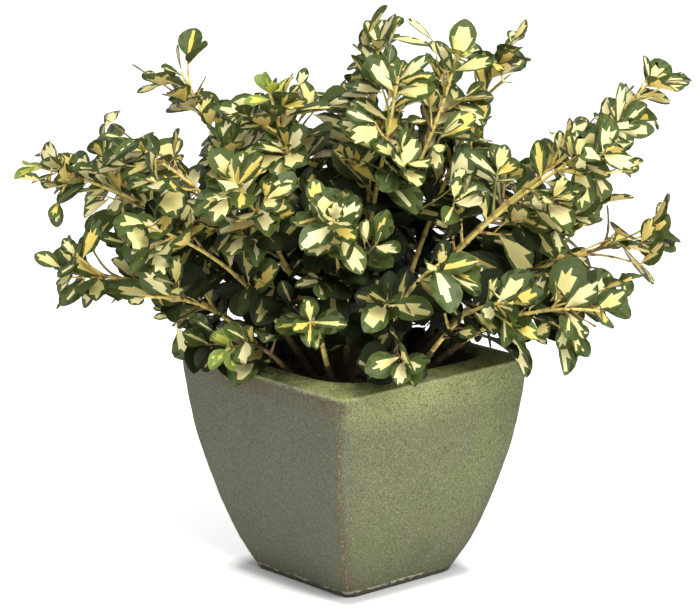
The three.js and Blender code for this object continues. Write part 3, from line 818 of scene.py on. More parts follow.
def pot_levels():
    """Half side and height of each ring: those up the outside and over the rim, then those inside."""
    foot = [(outer_half(FOOT_ROUND) - FOOT_ROUND * (1 - math.sin(a)), FOOT_ROUND * (1 - math.cos(a)))
            for a in QUARTER_TURN]
    top = POT_HEIGHT - RIM_ROUND - RIM_SLOPE + INNER_EDGE_RISE
    wall = [(outer_half(z), z) for z in np.linspace(FOOT_ROUND, top, WALL_RINGS)[1:]]
    rim = [(outer_half(top) - RIM_ROUND * (1 - math.cos(a)), top + RIM_ROUND * math.sin(a))
           for a in QUARTER_TURN[1:]]
    mouth_half = inner_half(POT_HEIGHT)
    mouth_top = POT_HEIGHT + INNER_EDGE_RISE
    mouth = [(mouth_half + MOUTH_ROUND * (1 - math.sin(a)), mouth_top - MOUTH_ROUND * (1 - math.cos(a)))
             for a in QUARTER_TURN]
    levels = np.linspace(POT_HEIGHT - MOUTH_ROUND, FLOOR_THICKNESS, INSIDE_RINGS)
    inside = [(inner_half(z), z) for z in levels[1:]]
    across = np.array(mouth[0]) - rim[-1]
    sloped = [tuple(rim[-1] + across * share) for share in (0.25, 0.5, 0.75)]
    return foot + wall + rim + sloped[:1], sloped[1:] + mouth + inside


def rounded_square(bm, half):
    """One face in plan: a square with rounded corners and finely divided sides."""
    bmesh.ops.create_grid(bm, x_segments=1, y_segments=1, size=half)
    corner = CORNER_RADIUS * half / RIM_HALF
    bmesh.ops.bevel(
        bm, geom=bm.verts[:], offset=corner, offset_type="OFFSET", affect="VERTICES", segments=6,
        profile=0.5, material=-1)
    sides = [edge for edge in bm.edges if edge.calc_length() > half]
    bmesh.ops.subdivide_edges(bm, edges=sides, cuts=26)


def round_off(ring, half, radius):
    """Rounds the corners of a ring that is still square to X and Y."""
    corner = half - radius
    for vert in ring:
        beyond = Vector((abs(vert.co.x) - corner, abs(vert.co.y) - corner))
        if min(beyond) > 0 and beyond.length > radius:
            beyond *= radius / beyond.length
            vert.co.x = math.copysign(corner + beyond.x, vert.co.x)
            vert.co.y = math.copysign(corner + beyond.y, vert.co.y)


def pot_mesh(pot):
    bm = bmesh.new()
    outside, inside = pot_levels()
    rounded_square(bm, RIM_HALF)
    underside = bm.faces[:][0]
    if underside.normal.z > 0:
        underside.normal_flip()
    ring = underside.verts[:]
    edges = underside.edges[:]
    rings = [ring]
    half, height = outside[0]
    bmesh.ops.scale(bm, vec=(half / RIM_HALF, half / RIM_HALF, 1), verts=ring)
    for next_half, next_height in outside[1:] + inside:
        made = bmesh.ops.extrude_edge_only(bm, edges=edges)["geom"]
        ring = [item for item in made if isinstance(item, bmesh.types.BMVert)]
        edges = [item for item in made if isinstance(item, bmesh.types.BMEdge)]
        share = next_half / half
        bmesh.ops.scale(bm, vec=(share, share, 1), verts=ring)
        bmesh.ops.translate(bm, vec=(0, 0, next_height - height), verts=ring)
        rings.append(ring)
        half, height = next_half, next_height
    for ring, (half, height) in zip(rings, outside):
        rounded = FOOT_CORNER_RADIUS * (1 - height / FOOT_ROUNDED_TO)
        if rounded > 0:
            round_off(ring, half, rounded)
        turn = Matrix.Rotation(wall_twist(min(height / POT_HEIGHT, 1)), 3, "Z")
        bmesh.ops.rotate(bm, cent=(0, 0, 0), matrix=turn, verts=ring)
    for ring, (half, _) in zip(rings[len(outside):], inside):
        round_off(ring, half, MOUTH_CORNER_RADIUS)
    bmesh.ops.contextual_create(bm, geom=edges)
    bmesh.ops.recalc_face_normals(bm, faces=bm.faces[:])
    bmesh.ops.scale(bm, vec=(MM, MM, MM), verts=bm.verts[:])
    roughen_pot(bm, pot)
    return mesh_of("stoneware_pot", bm)


def roughen_pot(bm, pot):
    """Moves the skin as hand-pressed clay wanders, raises the seams and nibbles the foot's edge."""
    bm.normal_update()
    moves = {}
    for vert in bm.verts:
        x, y, z = vert.co
        if z < MM / 2:
            continue
        coarse, fine = (noise.noise(vert.co * fineness) for fineness in WANDER_FINENESS)
        wander = coarse + 0.5 * fine
        turn = wall_twist(min(z / MM / POT_HEIGHT, 1))
        beside_seam = abs(abs(x + turn * y) - abs(y - turn * x)) / (SEAM_WIDTH * MM)
        outside = max(abs(x), abs(y)) > (outer_half(min(z / MM, POT_HEIGHT)) - SKIN_DEPTH) * MM
        broken = 0.6 + 0.6 * noise.noise(vert.co * SEAM_FINENESS)
        ridge = math.exp(-beside_seam ** 2) * broken if outside else 0
        nibble = 0.0
        if z < NIBBLED_TO * MM and outside:
            nibble = -NIBBLE_DEPTH * max(0.0, noise.noise(vert.co * NIBBLE_FINENESS) - 0.1)
        fade = min(1, z / (8 * MM))
        amount = fade * pot.unevenness * wander + fade * pot.seam_height * ridge + nibble * MM
        moves[vert] = vert.normal * amount
    for vert, move in moves.items():
        vert.co += move


def drain_holes(piece):
    """Cuts the drain holes through the pot's floor."""
    bm = bmesh.new()
    for x, y in HOLE_PLACES:
        centre = Matrix.Translation((x * MM, y * MM, FLOOR_THICKNESS / 2 * MM))
        bmesh.ops.create_cone(
            bm, cap_ends=True, segments=24, radius1=HOLE_RADIUS * MM, radius2=HOLE_RADIUS * MM,
            depth=DRILL_LENGTH * MM, matrix=centre)
    drill = bpy.data.objects.new("drill", mesh_of("drill", bm))
    bpy.context.scene.collection.objects.link(drill)
    cut = piece.modifiers.new("drain_holes", "BOOLEAN")
    cut.operation = "DIFFERENCE"
    cut.solver = "EXACT"
    cut.object = drill
    graph = bpy.context.evaluated_depsgraph_get()
    drilled = bpy.data.meshes.new_from_object(piece.evaluated_get(graph))
    piece.modifiers.clear()
    piece.data = drilled
    bpy.data.objects.remove(drill)


def soil_mesh():
    """The mix's crumbly surface, a sheet just over the soil's flat top that dips into it at the pot."""
    bm = bmesh.new()
    half = (inner_half(SOIL_TOP) - SOIL_CLEARANCE) * MM
    bmesh.ops.create_grid(bm, x_segments=SOIL_DIVISIONS, y_segments=SOIL_DIVISIONS, size=half)
    for vert in bm.verts:
        x, y, _ = vert.co
        crumb = noise.noise(vert.co * CRUMB_FINENESS[0]) + 0.6 * noise.noise(vert.co * CRUMB_FINENESS[1])
        mound = noise.noise(vert.co * MOUND_FINENESS)
        at_wall = max(abs(x), abs(y)) / half
        fade = min(1, (1 - at_wall) * 9)
        raised = fade * (SOIL_RISE + CRUMB_HEIGHT * crumb + MOUND_HEIGHT * mound)
        vert.co.z = SOIL_TOP * MM + (0.4 + raised) * MM
    return mesh_of("soil_surface", bm)


def chip_mesh():
    """Bark chips and crumbs strewn on the mix."""
    picker = random.Random(CHIP_SEED)
    shape = bmesh.new()
    bmesh.ops.create_icosphere(shape, subdivisions=1, radius=1)
    corners = np.array([vert.co[:] for vert in shape.verts])
    triangles = [[vert.index for vert in face.verts] for face in shape.faces]
    shape.free()
    chips = []
    reach = inner_half(SOIL_TOP) - CHIPS_FROM_WALL
    for _ in range(CHIP_COUNT):
        lumps = np.array([[picker.uniform(0.75, 1.2)] for _ in corners])
        size = np.array([picker.uniform(*limits) for limits in CHIP_SIZES])
        turn = Matrix.Rotation(picker.uniform(0, math.tau), 3, "Z")
        turn = turn @ Matrix.Rotation(picker.uniform(-0.4, 0.4), 3, "X")
        x, y = (picker.uniform(-reach, reach) for _ in range(2))
        spot = np.array([x, y, SOIL_TOP + CHIP_HEIGHT])
        chips.append(((corners * lumps * size) @ np.array(turn).T + spot, triangles))
    points, faces = joined(chips)
    return mesh_of_arrays("bark_chips", points * MM, faces)


# Growth, measured in millimetres from the soil's surface

def draw(*keys):
    """A repeatable draw from 0 to 1 for whole-number keys, mixed as the solids mix them."""
    state = 0x2545F491
    for key in keys:
        state = ((state ^ (key + 0x9E37)) * 0x85EBCA6B) & 0xFFFFFFFF
        state ^= state >> 13
        state = (state * 0xC2B2AE35) & 0xFFFFFFFF
        state ^= state >> 16
    return state / 4294967296


def between(low, high, share):
    return low + (high - low) * share


def unit(vector):
    return vector / np.linalg.norm(vector)


def direction(bearing, pitch):
    turn, rise = math.radians(bearing), math.radians(pitch)
    return np.array([math.cos(rise) * math.cos(turn), math.cos(rise) * math.sin(turn), math.sin(rise)])


def turned(vector, axis, angle):
    """A vector turned about a unit axis that is square to it."""
    return vector * math.cos(angle) + np.cross(axis, vector) * math.sin(angle)


def any_side(tangent):
    helper = np.array([1.0, 0.0, 0.0]) if abs(tangent[2]) > 0.8 else UP
    return unit(np.cross(tangent, helper))


class Curve:
    """A Bezier line that is read by shares of its length."""
    STEPS = np.linspace(0, 1, 101)

    def __init__(self, *controls):
        self.controls = np.array(controls, float)
        points = self._at(self.STEPS)
        gaps = np.linalg.norm(np.diff(points, axis=0), axis=1)
        self.reached = np.concatenate([[0], np.cumsum(gaps)])
        self.length = self.reached[-1]

    def _at(self, t, controls=None):
        controls = self.controls if controls is None else controls
        order = len(controls) - 1
        t = np.asarray(t, float)[..., None]
        return sum(
            math.comb(order, i) * t ** i * (1 - t) ** (order - i) * control
            for i, control in enumerate(controls))

    def _time(self, share):
        return np.interp(np.asarray(share, float) * self.length, self.reached, self.STEPS)

    def point(self, share):
        return self._at(self._time(share))

    def tangent(self, share):
        slope = self._at(self._time(share), np.diff(self.controls, axis=0))
        return slope / np.linalg.norm(slope, axis=-1, keepdims=True)


def shoot_curve(shoot, number):
    """A shoot's whole line from its foot to its tip."""
    _, bearing, reach, height, pitch, foot_reach = shoot
    on_crown = foot_reach == ON_CROWN
    foot = direction(bearing, 0) * foot_reach + UP * (CROWN_HEIGHT if on_crown else 0)
    tip = direction(bearing, 0) * reach + UP * (height - SOIL_TOP)
    span = np.linalg.norm(tip - foot)
    sideways = direction(bearing + 90, 0) * span * SWAY * (2 * draw(number, 1) - 1)
    raised = (height - LOWEST_TIP) / (HIGHEST_TIP - LOWEST_TIP)
    foot_pitch = UPRIGHT_FOOT_PITCH if on_crown else between(LOW_FOOT_PITCH, HIGH_FOOT_PITCH, raised)
    leaving = foot + direction(bearing, foot_pitch) * BEND_SHARE * span + sideways
    arriving = tip - direction(bearing, pitch) * BEND_SHARE * span + sideways
    return Curve(foot, leaving, arriving, tip)


def twig_curve(curve, share, twig_length, turn):
    """A twig that leaves a stem at a slant and bends up and along with it."""
    tangent = curve.tangent(share)
    start = curve.point(share)
    side = turned(any_side(tangent), tangent, turn)
    slant = math.radians(TWIG_ANGLE)
    leaving = tangent * math.cos(slant) + side * math.sin(slant)
    middle = start + leaving * twig_length / 2
    later = unit(leaving + tangent * TWIG_FOLLOWS_STEM + UP * TWIG_LIFT)
    return Curve(start, middle, middle + later * twig_length / 2)


def view_axes(azimuth, elevation):
    """A view's direction to the right, and the one back towards its camera."""
    turn, rise = math.radians(azimuth), math.radians(elevation)
    right = np.array([math.cos(turn), math.sin(turn), 0])
    back = np.array([math.sin(turn) * math.cos(rise), -math.cos(turn) * math.cos(rise), math.sin(rise)])
    return right, back


class Mass:
    """One shoot: its line, and the stretch of it that carries foliage."""

    def __init__(self, shoot, number):
        self.name = shoot[0]
        self.number = number
        self.curve = shoot_curve(shoot, number)
        self.span = (BOUGH_SHARE, 1 - STEM_STOPS_SHORT / self.curve.length)
        self.line = self.curve.point(np.linspace(*self.span, 13))
        self.length = self.curve.length * (self.span[1] - self.span[0])


def distances(points, lines):
    """Each point's distance from each line, both as arrays of points."""
    starts = lines[:, :-1]
    runs = lines[:, 1:] - starts
    offsets = points[:, None, None] - starts[None]
    shares = np.clip((offsets * runs).sum(-1) / (runs ** 2).sum(-1), 0, 1)
    gaps = np.linalg.norm(offsets - runs * shares[..., None], axis=-1)
    return gaps.min(axis=2)


class Plant:
    """Every shoot, twig and leaf, and the room that they take from each other."""

    def __init__(self, longest, shortest):
        self.longest = longest
        self.shortest = shortest
        self.masses = [Mass(shoot, number) for number, shoot in enumerate(SHOOTS)]
        self.lines = np.array([mass.line for mass in self.masses])
        self.tips = np.array([mass.curve.controls[-1] for mass in self.masses]) - CROWN_CENTRE
        self.low = np.array(CAD_BOX[0]) / MM - BOX_MARGIN - [0, 0, SOIL_TOP]
        self.high = np.array(CAD_BOX[1]) / MM + BOX_MARGIN - [0, 0, SOIL_TOP]
        self.view_right, self.view_back = view_axes(VIEW_AZIMUTH, VIEW_ELEVATION)
        self.view_up = np.cross(self.view_back, self.view_right)
        self.view_aim = self.view_right * VIEW_AIM[0] + UP * (VIEW_AIM[1] - SOIL_TOP)
        self.light = unit(self.view_back + self.view_right * LIGHT_RIGHT + UP * LIGHT_ABOVE)
        curves = {mass.name: mass.curve for mass in self.masses}
        stems = [curves[name].point(np.linspace(low, high, 40)) for name, low, high in SEEN_STEMS]
        self.stem_points = np.concatenate(stems)
        self.stem_seen = np.stack(self.seen(self.stem_points), axis=1)
        self.taken = {}
        for mass in self.masses:
            start, stop = mass.span
            shares = np.linspace(start, stop - BARE_TIP_SHARE, int(mass.length / STEM_ROOM_SPACING))
            self.take(mass.curve.point(shares))
        self.tubes = []
        self.leaves = {}
        for mass in self.masses:
            growth = Growth(self, mass)
            growth.grow()
            self.tubes += growth.tubes
            self.leaves[mass.name] = growth.leaves

    def clear_of_pot(self, points, margin):
        wide = np.abs(points[:, :2]).max(axis=1)
        height = points[:, 2] + SOIL_TOP
        halves = np.array([outer_half(min(max(z, 0), POT_HEIGHT)) for z in height])
        within = (wide < inner_half(POT_HEIGHT) - margin) & (points[:, 2] > margin)
        return bool(np.all((height > POT_HEIGHT + margin) | (wide > halves + margin) | within))

    def owned(self, points, mass, margin):
        """True where every point is nearest to the mass's own stem and clear of the pot."""
        if not self.clear_of_pot(points, LIMB_MARGIN):
            return False
        gaps = distances(points, self.lines)
        own = gaps[:, mass.number].copy()
        gaps[:, mass.number] = np.inf
        return bool(np.all(gaps.min(axis=1) > own + margin))

    def in_box(self, points):
        return bool(np.all(points > self.low) and np.all(points < self.high))

    def seen(self, points):
        """How far right and up each point shows in the front view's plane."""
        offsets = points - self.view_aim
        shrink = VIEW_DISTANCE / (VIEW_DISTANCE - offsets @ self.view_back)
        return offsets @ self.view_right * shrink, offsets @ self.view_up * shrink

    def against_sky(self, points):
        """True where a point would close one of the gaps that the sky shows through."""
        right, up = self.seen(points)
        return any(np.any(np.hypot(right - x, up - y) < radius) for x, y, radius in SKY_GAPS)

    def in_hollow(self, points):
        """True where a near point would hide one of the dark places over the soil."""
        right, up = self.seen(points)
        near = points @ self.view_back > 0
        return any(np.any(near & (np.hypot(right - x, up - y) < radius)) for x, y, radius in HOLLOWS)

    def hides_stem(self, points):
        """True where a point stands between the front camera and a stem that shows."""
        places = np.stack(self.seen(points), axis=1)
        gaps = np.linalg.norm(places[:, None] - self.stem_seen[None], axis=2)
        nearer = (points[:, None] - self.stem_points[None]) @ self.view_back > 1
        return bool(np.any(nearer & (gaps < SIGHT_WIDTH)))

    def cells(self, point, reach=0):
        x, y, z = (int(math.floor(value / LEAF_ROOM)) for value in point)
        span = range(-reach, reach + 1)
        return [(x + i, y + j, z + k) for i in span for j in span for k in span]

    def has_room(self, points, room):
        return not any(
            math.dist(point, other) < room
            for point in points for cell in self.cells(point, 1) for other in self.taken.get(cell, ()))

    def take(self, points):
        for point in points:
            self.taken.setdefault(self.cells(point)[0], []).append(point)


class Growth:
    """The stems, twigs and leaves of one mass, as they find room in the plant."""

    def __init__(self, plant, mass):
        self.plant = plant
        self.mass = mass
        self.picker = random.Random(GROWTH_SEED + mass.number)
        self.tubes = []
        self.leaves = []

    def is_shaded(self, root, outward):
        """Whether a leaf grows so deep in the crown that it takes the dark shaded finishes: painted shade.
        """
        depth = np.linalg.norm(root - CROWN_CENTRE) / (self.plant.tips @ outward).max()
        limit = between(*SHADED_DEPTHS, min(root[2] / SHADED_HEIGHT, 1))
        # Painted shade: more leaves of these masses take the dark finishes
        if self.mass.name in MORE_SHADED_MASSES:
            limit += MORE_SHADED_BY
        return depth < limit + self.picker.uniform(-SHADED_RANDOMLY, SHADED_RANDOMLY)

    def facing(self, root, blade, natural, outward):
        """Where a leaf's upper side looks: up, out, to the light, more so at the front, and by chance."""
        jitter = np.array([self.picker.uniform(-1, 1) for _ in range(3)])
        lit = max(0, LIT_MIDWAY + root.dot(self.plant.view_back) / LIT_DEPTH)
        face = natural * FACE_OWN + UP * FACE_UP + outward * FACE_OUT
        face = face + self.plant.light * FACE_LIGHT * lit + jitter * FACE_CHANCE
        return unit(face - blade * face.dot(blade))

    def leaf(self, root, blade, natural, size, kind):
        """Adds one leaf if there is room for it, made smaller where that helps."""
        plant = self.plant
        outward = unit(root - CROWN_CENTRE)
        if kind == "grown" and self.is_shaded(root, outward):
            kind = "shaded"
        face = self.facing(root, blade, natural, outward)
        across = np.cross(face, blade)
        width_share = self.picker.uniform(*LEAF_WIDTH_SHARES)
        room = LEAF_ROOM * (YOUNG_ROOM_SHARE if kind == "young" else 1)
        for share in LEAF_SHRINKS:
            long = size * share
            wide = long * width_share
            middle = root + blade * long * ROOM_MIDDLE
            spine = root + blade * long * ROOM_SPINE
            aside = across * wide * ROOM_ASIDE
            samples = np.array([middle, spine + aside, spine - aside, root + blade * long])
            outline = root + LEAF_OUTLINE[:, :1] * blade * long + LEAF_OUTLINE[:, 1:] * across * wide
            if not plant.in_box(samples) or not plant.clear_of_pot(samples, LEAF_MARGIN):
                continue
            if plant.against_sky(outline) or plant.hides_stem(outline) or plant.in_hollow(outline):
                continue
            if plant.has_room(samples[1:], room):
                plant.take(samples)
                lot = self.picker.random()
                self.leaves.append(Leaf(root, blade, across, face, long, wide, kind, lot))
                return True
        return False

    def pair(self, curve, share, radius, turn, angle, size, kind):
        """Two opposite leaves at a node."""
        uniform = self.picker.uniform
        tangent = curve.tangent(share)
        node = curve.point(share)
        first = turned(any_side(tangent), tangent, turn)
        found_room = False
        for side in (1, -1):
            slant = math.radians(angle + uniform(*SLANT_VARIATION))
            aim = turned(first, tangent, math.radians(uniform(*TURN_VARIATION)))
            blade = tangent * math.cos(slant) + aim * side * math.sin(slant) - UP * uniform(*DROOP)
            blade = unit(blade)
            natural = unit(tangent - blade * tangent.dot(blade) + 1e-6)
            long = size * uniform(*LEAF_VARIATION)
            found_room |= self.leaf(node + blade * radius * 0.4, blade, natural, long, kind)
        return found_room

    def rosette(self, curve, stop, radius, size, turn, kind):
        """Close pairs round a tip, smaller and steeper towards the bud.

        Gives the share of the line that the last of them stands at, or 0 where none found room.
        """
        last = 0
        for i, (share, angle) in enumerate(zip(ROSETTE_SHARES, ROSETTE_ANGLES)):
            spot = stop - (len(ROSETTE_SHARES) - 1 - i) * ROSETTE_STEP / curve.length
            if self.pair(curve, spot, radius, turn + math.pi / 2 * i, angle, size * share, kind):
                last = max(spot, SHORTEST_LIMB_SHARE)
        return last

    def leafy(self, curve, span, spacing, radii, sizes, kind="grown"):
        """Pairs along a stretch of a line, each a quarter turn from the last, and a rosette at its end.

        Gives the share of the line that its last leaves stand at, or 0 where none found room.
        """
        start, stop = span
        last = 0
        room = (stop - start) * curve.length - ROSETTE_STEP * len(ROSETTE_SHARES)
        turn = self.picker.uniform(0, math.tau)
        reached = spacing[0] * 0.5
        while reached < room:
            along = reached / max(room, 1)
            share = start + reached / curve.length
            angle = between(*LEAF_ANGLES, along)
            size = between(*sizes, along)
            if self.pair(curve, share, between(*radii, along), turn, angle, size, kind):
                last = share
            turn += math.pi / 2
            reached += between(*spacing, along) * self.picker.uniform(*SPACING_VARIATION)
        if curve is self.mass.curve and self.mass.name in YOUNG_TIPS:
            kind = "young"
        size = sizes[1] * (YOUNG_LEAF_SHARE if kind == "young" else TIP_LEAF_SHARE)
        return self.rosette(curve, stop, radii[1], size, turn, kind) or last

    def twig(self, curve, share, twig_length, turn, margin, size, depth=1):
        """One twig with its leaves and spurs, if its line keeps to the mass's space."""
        uniform = self.picker.uniform
        line = twig_curve(curve, share, twig_length, turn)
        if not self.plant.owned(line.point(np.linspace(0.25, 1, 6)), self.mass, margin):
            return
        ends = line.point([0.4, 0.6, 0.8, 1.0])
        if not self.plant.in_box(ends) or self.plant.against_sky(ends):
            return
        radii = TWIG_RADII if depth == 1 else SPUR_RADII
        high = line.point(1.0)[2] > YOUNG_ABOVE
        kind = "young" if self.picker.random() < YOUNG_TWIGS and high else "grown"
        sizes = (size, size * 0.84)
        spacing = (TWIG_LEAF_SPACING, TWIG_LEAF_SPACING * 0.8)
        last = self.leafy(line, (TWIG_LEAVES_FROM, 1), spacing, radii, sizes, kind)
        if not last:
            return
        self.tubes.append(Tube(line, 0, last, radii, depth, kind))
        if depth == 1 and twig_length > SPUR_NEEDS_TWIG:
            for middle in SPUR_RANGE:
                spur = uniform(*SPUR_LENGTHS)
                spot = middle + uniform(*SPUR_VARIATION)
                turn = uniform(0, math.tau)
                if spot < last:
                    self.twig(line, spot, spur, turn, margin, size * SPUR_LEAF_SHARE, depth + 1)

    def spray(self, share, right, up, front):
        """A twig that leaves the stem along it and bends to a tip at a given place in the front view."""
        plant = self.plant
        start = self.mass.curve.point(share)
        from_right, from_up = plant.seen(start)
        reach = plant.view_right * (right - from_right) + plant.view_up * (up - from_up)
        reach = reach + plant.view_back * front
        bend = start + self.mass.curve.tangent(share) * np.linalg.norm(reach) * SPRAY_BEND
        line = Curve(start, bend, start + reach)
        sizes = (plant.longest * SPRAY_LEAF_SHARE, plant.shortest)
        spacing = (TWIG_LEAF_SPACING, TWIG_LEAF_SPACING)
        last = self.leafy(line, (SPRAY_LEAVES_FROM, 1), spacing, TWIG_RADII, sizes)
        if last:
            self.tubes.append(Tube(line, 0, last, TWIG_RADII, 1, "grown"))

    def grow(self):
        """The stem, then its sprays, its twigs and the leaves on its bough."""
        curve, span = self.mass.curve, self.mass.span
        shortest = self.plant.shortest
        sizes = (self.plant.longest, shortest)
        last = self.leafy(curve, span, STEM_LEAF_SPACING, STEM_RADII, sizes)
        self.tubes.append(Tube(curve, span[0] - 0.004, last, STEM_RADII, 0, "grown"))
        for spray in SPRAYS.get(self.mass.name, ()):
            self.spray(*spray)
        self.grow_twigs(sizes)
        self.grow_fine_twigs(sizes)
        steps = int((BOUGH_SHARE - BOUGH_LEAVES_FROM) * curve.length / BOUGH_LEAF_SPACING)
        for i in range(steps):
            share = between(BOUGH_LEAVES_FROM, BOUGH_SHARE, (i + 0.5) / steps)
            turn = self.picker.uniform(0, math.tau)
            # The bough's leaves all take the dark shaded finishes: painted shade
            self.pair(curve, share, BOUGH_RADII[1], turn, BOUGH_LEAF_ANGLE, shortest, "shaded")

    def grow_twigs(self, sizes):
        """The twigs that the solids have too."""
        mass, number = self.mass, self.mass.number
        count = max(2, round(mass.length / TWIG_SPACING))
        for i in range(count):
            along = (i + 0.35 + 0.3 * draw(number, i, 5)) / count
            share = between(*mass.span, between(*TWIG_RANGE, along))
            vary = 1 + TWIG_VARIATION * (2 * draw(number, i, 6) - 1)
            wanted = vary * mass.length * between(*TWIG_LENGTHS, along)
            twig_length = min(max(wanted, TWIG_SHORTEST), TWIG_LONGEST)
            turn = math.radians(GOLDEN_TURN * i + 360 * draw(number, 7))
            size = between(*sizes, 0.3 + 0.7 * along)
            self.twig(mass.curve, share, twig_length, turn, LIMB_MARGIN, size)

    def grow_fine_twigs(self, sizes):
        """Closer and shorter twigs between those."""
        mass, uniform = self.mass, self.picker.uniform
        density = SPARSE_TWIGS if mass.name in SPARSE_MASSES else 1
        count = round(mass.length / FINE_TWIG_SPACING * density)
        for i in range(count):
            along = (i + 0.5) / count
            share = between(*mass.span, between(*FINE_TWIG_RANGE, along))
            wanted = mass.length * between(*FINE_TWIG_LENGTHS, along) * uniform(0.7, 1.3)
            twig_length = min(max(wanted, FINE_TWIG_SHORTEST), FINE_TWIG_LONGEST)
            turn = math.radians(GOLDEN_TURN * i + 60) + uniform(-0.4, 0.4)
            self.twig(mass.curve, share, twig_length, turn, 0, between(*sizes, 0.4 + 0.6 * along))


@functools.lru_cache(maxsize=1)
def grown_plant(longest, shortest):
    return Plant(longest, shortest)


def the_plant():
    settings = bpy.context.scene.wintercreeper_plant
    return grown_plant(settings.longest_leaf / MM, settings.shortest_leaf / MM)


def to_frame(points):
    return (points + np.array([0, 0, SOIL_TOP])) * MM


# Limbs as meshes

def ring_faces(sides, rings):
    """Faces of a tube whose rings follow a first point and come before a last one."""
    steps = [(i, (i + 1) % sides) for i in range(sides)]
    last = 1 + rings * sides
    faces = [[0, 1 + j, 1 + i] for i, j in steps]
    for base in range(1, last, sides):
        above = base + sides
        faces += [[base + i, base + j, above + j, above + i] for i, j in steps]
    return faces + [[last + sides, last + i, last + j] for i, j in steps]


def tube_arrays(curve, start, stop, radii, detail, swollen=()):
    """Rings along a stretch of a line, closed to a point at both ends; swollen are the nodes' shares."""
    sides, step = detail
    count = max(3, int((stop - start) * curve.length / step))
    shares = np.linspace(start, stop, count + 1)
    centres = curve.point(shares)
    tangents = curve.tangent(shares)
    thickness = between(*radii, (shares - start) / (stop - start))
    for node in swollen:
        away = (shares - node) * curve.length / NODE_WIDTH
        thickness = thickness * (1 + NODE_SWELLING * np.exp(-away ** 2))
    side = any_side(tangents[0])
    rings = []
    turns = np.arange(sides) * math.tau / sides
    for centre, tangent, radius in zip(centres, tangents, thickness):
        side = unit(side - tangent * side.dot(tangent))
        third = np.cross(tangent, side)
        rings.append(centre + radius * (np.cos(turns)[:, None] * side + np.sin(turns)[:, None] * third))
    points = np.concatenate([centres[:1], *rings, centres[-1:] + tangents[-1:] * thickness[-1]])
    return points, ring_faces(sides, count)


def bough_arrays(mass, relief):
    """A bough with lengthwise ridges and swollen nodes, spread a little where it leaves the soil."""
    curve = mass.curve
    sides = BOUGH_RINGS[0]
    nodes = np.linspace(*BOUGH_NODES)
    points, faces = tube_arrays(curve, 0, BOUGH_SHARE, BOUGH_RADII, BOUGH_RINGS, nodes)
    centres = curve.point(np.linspace(0, BOUGH_SHARE, (len(points) - 2) // sides))
    from_soil = curve.controls[0][2] == 0
    for i, centre in enumerate(centres):
        spread = 1 + BOUGH_SPREAD * math.exp(-centre[2] / BOUGH_SPREAD_HEIGHT) if from_soil else 1
        for k in range(1 + i * sides, 1 + (i + 1) * sides):
            away = points[k] - centre
            stretched = Vector(centre + away * 3) * BARK_RIDGE[1]
            ridge = noise.noise(stretched + Vector((mass.number, 0, 0)))
            fine = noise.noise(Vector(points[k]) * BARK_GRAIN[1])
            raised = relief * (ridge * BARK_RIDGE[0] + fine * BARK_GRAIN[0]) / np.linalg.norm(away)
            points[k] = centre + away * (spread + raised)
    return points, faces


def joined(parts):
    vertices = []
    faces = []
    total = 0
    for points, polygons in parts:
        vertices.append(points)
        faces += [[corner + total for corner in polygon] for polygon in polygons]
        total += len(points)
    return np.concatenate(vertices), faces


def limb_finish(tube, i):
    """Golden stems, mixed twigs, green young ones, and brown ones low in the crown, where the brown is
    painted shade.
    """
    if tube.kind == "young":
        return "twig_green"
    if tube.curve.point(tube.stop)[2] < SHADED_BROWN_BELOW:
        return "twig_brown"
    return "twig_golden" if tube.depth == 0 else TWIG_DEAL[i % len(TWIG_DEAL)]


def limb_arrays(tube, i):
    """Vertices and faces of a stem, twig or spur, and the number of each face's finish."""
    curve, start, stop = tube.curve, tube.start, tube.stop
    detail = LIMB_RINGS[tube.depth]
    gap = (STEM_NODE_SPACING if tube.depth == 0 else TWIG_LEAF_SPACING) / curve.length
    nodes = np.arange(start + 0.5 * gap, stop, gap)
    points, faces = tube_arrays(curve, start, stop, tube.radii, detail, nodes)
    finish = TWIG_FINISHES.index(limb_finish(tube, i))
    scar = TWIG_FINISHES.index(SCAR_FINISHES[finish])
    shares = np.linspace(start, stop, len(faces) // detail[0])
    beside_node = np.abs(shares[:, None] - nodes[None]).min(axis=1, initial=1) * curve.length
    return points, faces, np.repeat(np.where(beside_node < SCAR_WIDTH, scar, finish), detail[0]).tolist()


def root_crown_mesh(relief):
    """The short woody foot: a spun profile with ridges down its sides and a lumpy top."""
    bm = bmesh.new()
    levels = np.linspace(0, 1, 16)
    shares = [share for _, share in CROWN_PROFILE]
    radii = np.interp(levels, shares, [radius for radius, _ in CROWN_PROFILE])
    line = [bm.verts.new((radius, 0, level * CROWN_HEIGHT)) for radius, level in zip(radii, levels)]
    line += [bm.verts.new((x, 0, CROWN_HEIGHT + 0.4)) for x in CROWN_TOP]
    edges = [bm.edges.new(pair) for pair in zip(line, line[1:])]
    bmesh.ops.spin(
        bm, geom=line + edges, cent=(0, 0, 0), axis=(0, 0, 1), angle=math.tau, steps=60, use_merge=True)
    rims = [edge for edge in bm.edges if edge.is_boundary]
    bmesh.ops.holes_fill(bm, edges=rims)
    bmesh.ops.recalc_face_normals(bm, faces=bm.faces[:])
    bm.normal_update()
    for vert in bm.verts:
        turn = math.atan2(vert.co.y, vert.co.x)
        ridge = math.sin(turn * 7 + vert.co.z * 0.08)
        ridge += noise.noise(Vector((turn * 3, vert.co.z * 0.12, 0)))
        if vert.co.z > 1:
            vert.co += vert.normal * relief * (ridge + noise.noise(vert.co * 0.4))
        vert.co = Vector(to_frame(np.array(vert.co)))
    return mesh_of("root_crown_bark", bm)


# Leaves as meshes

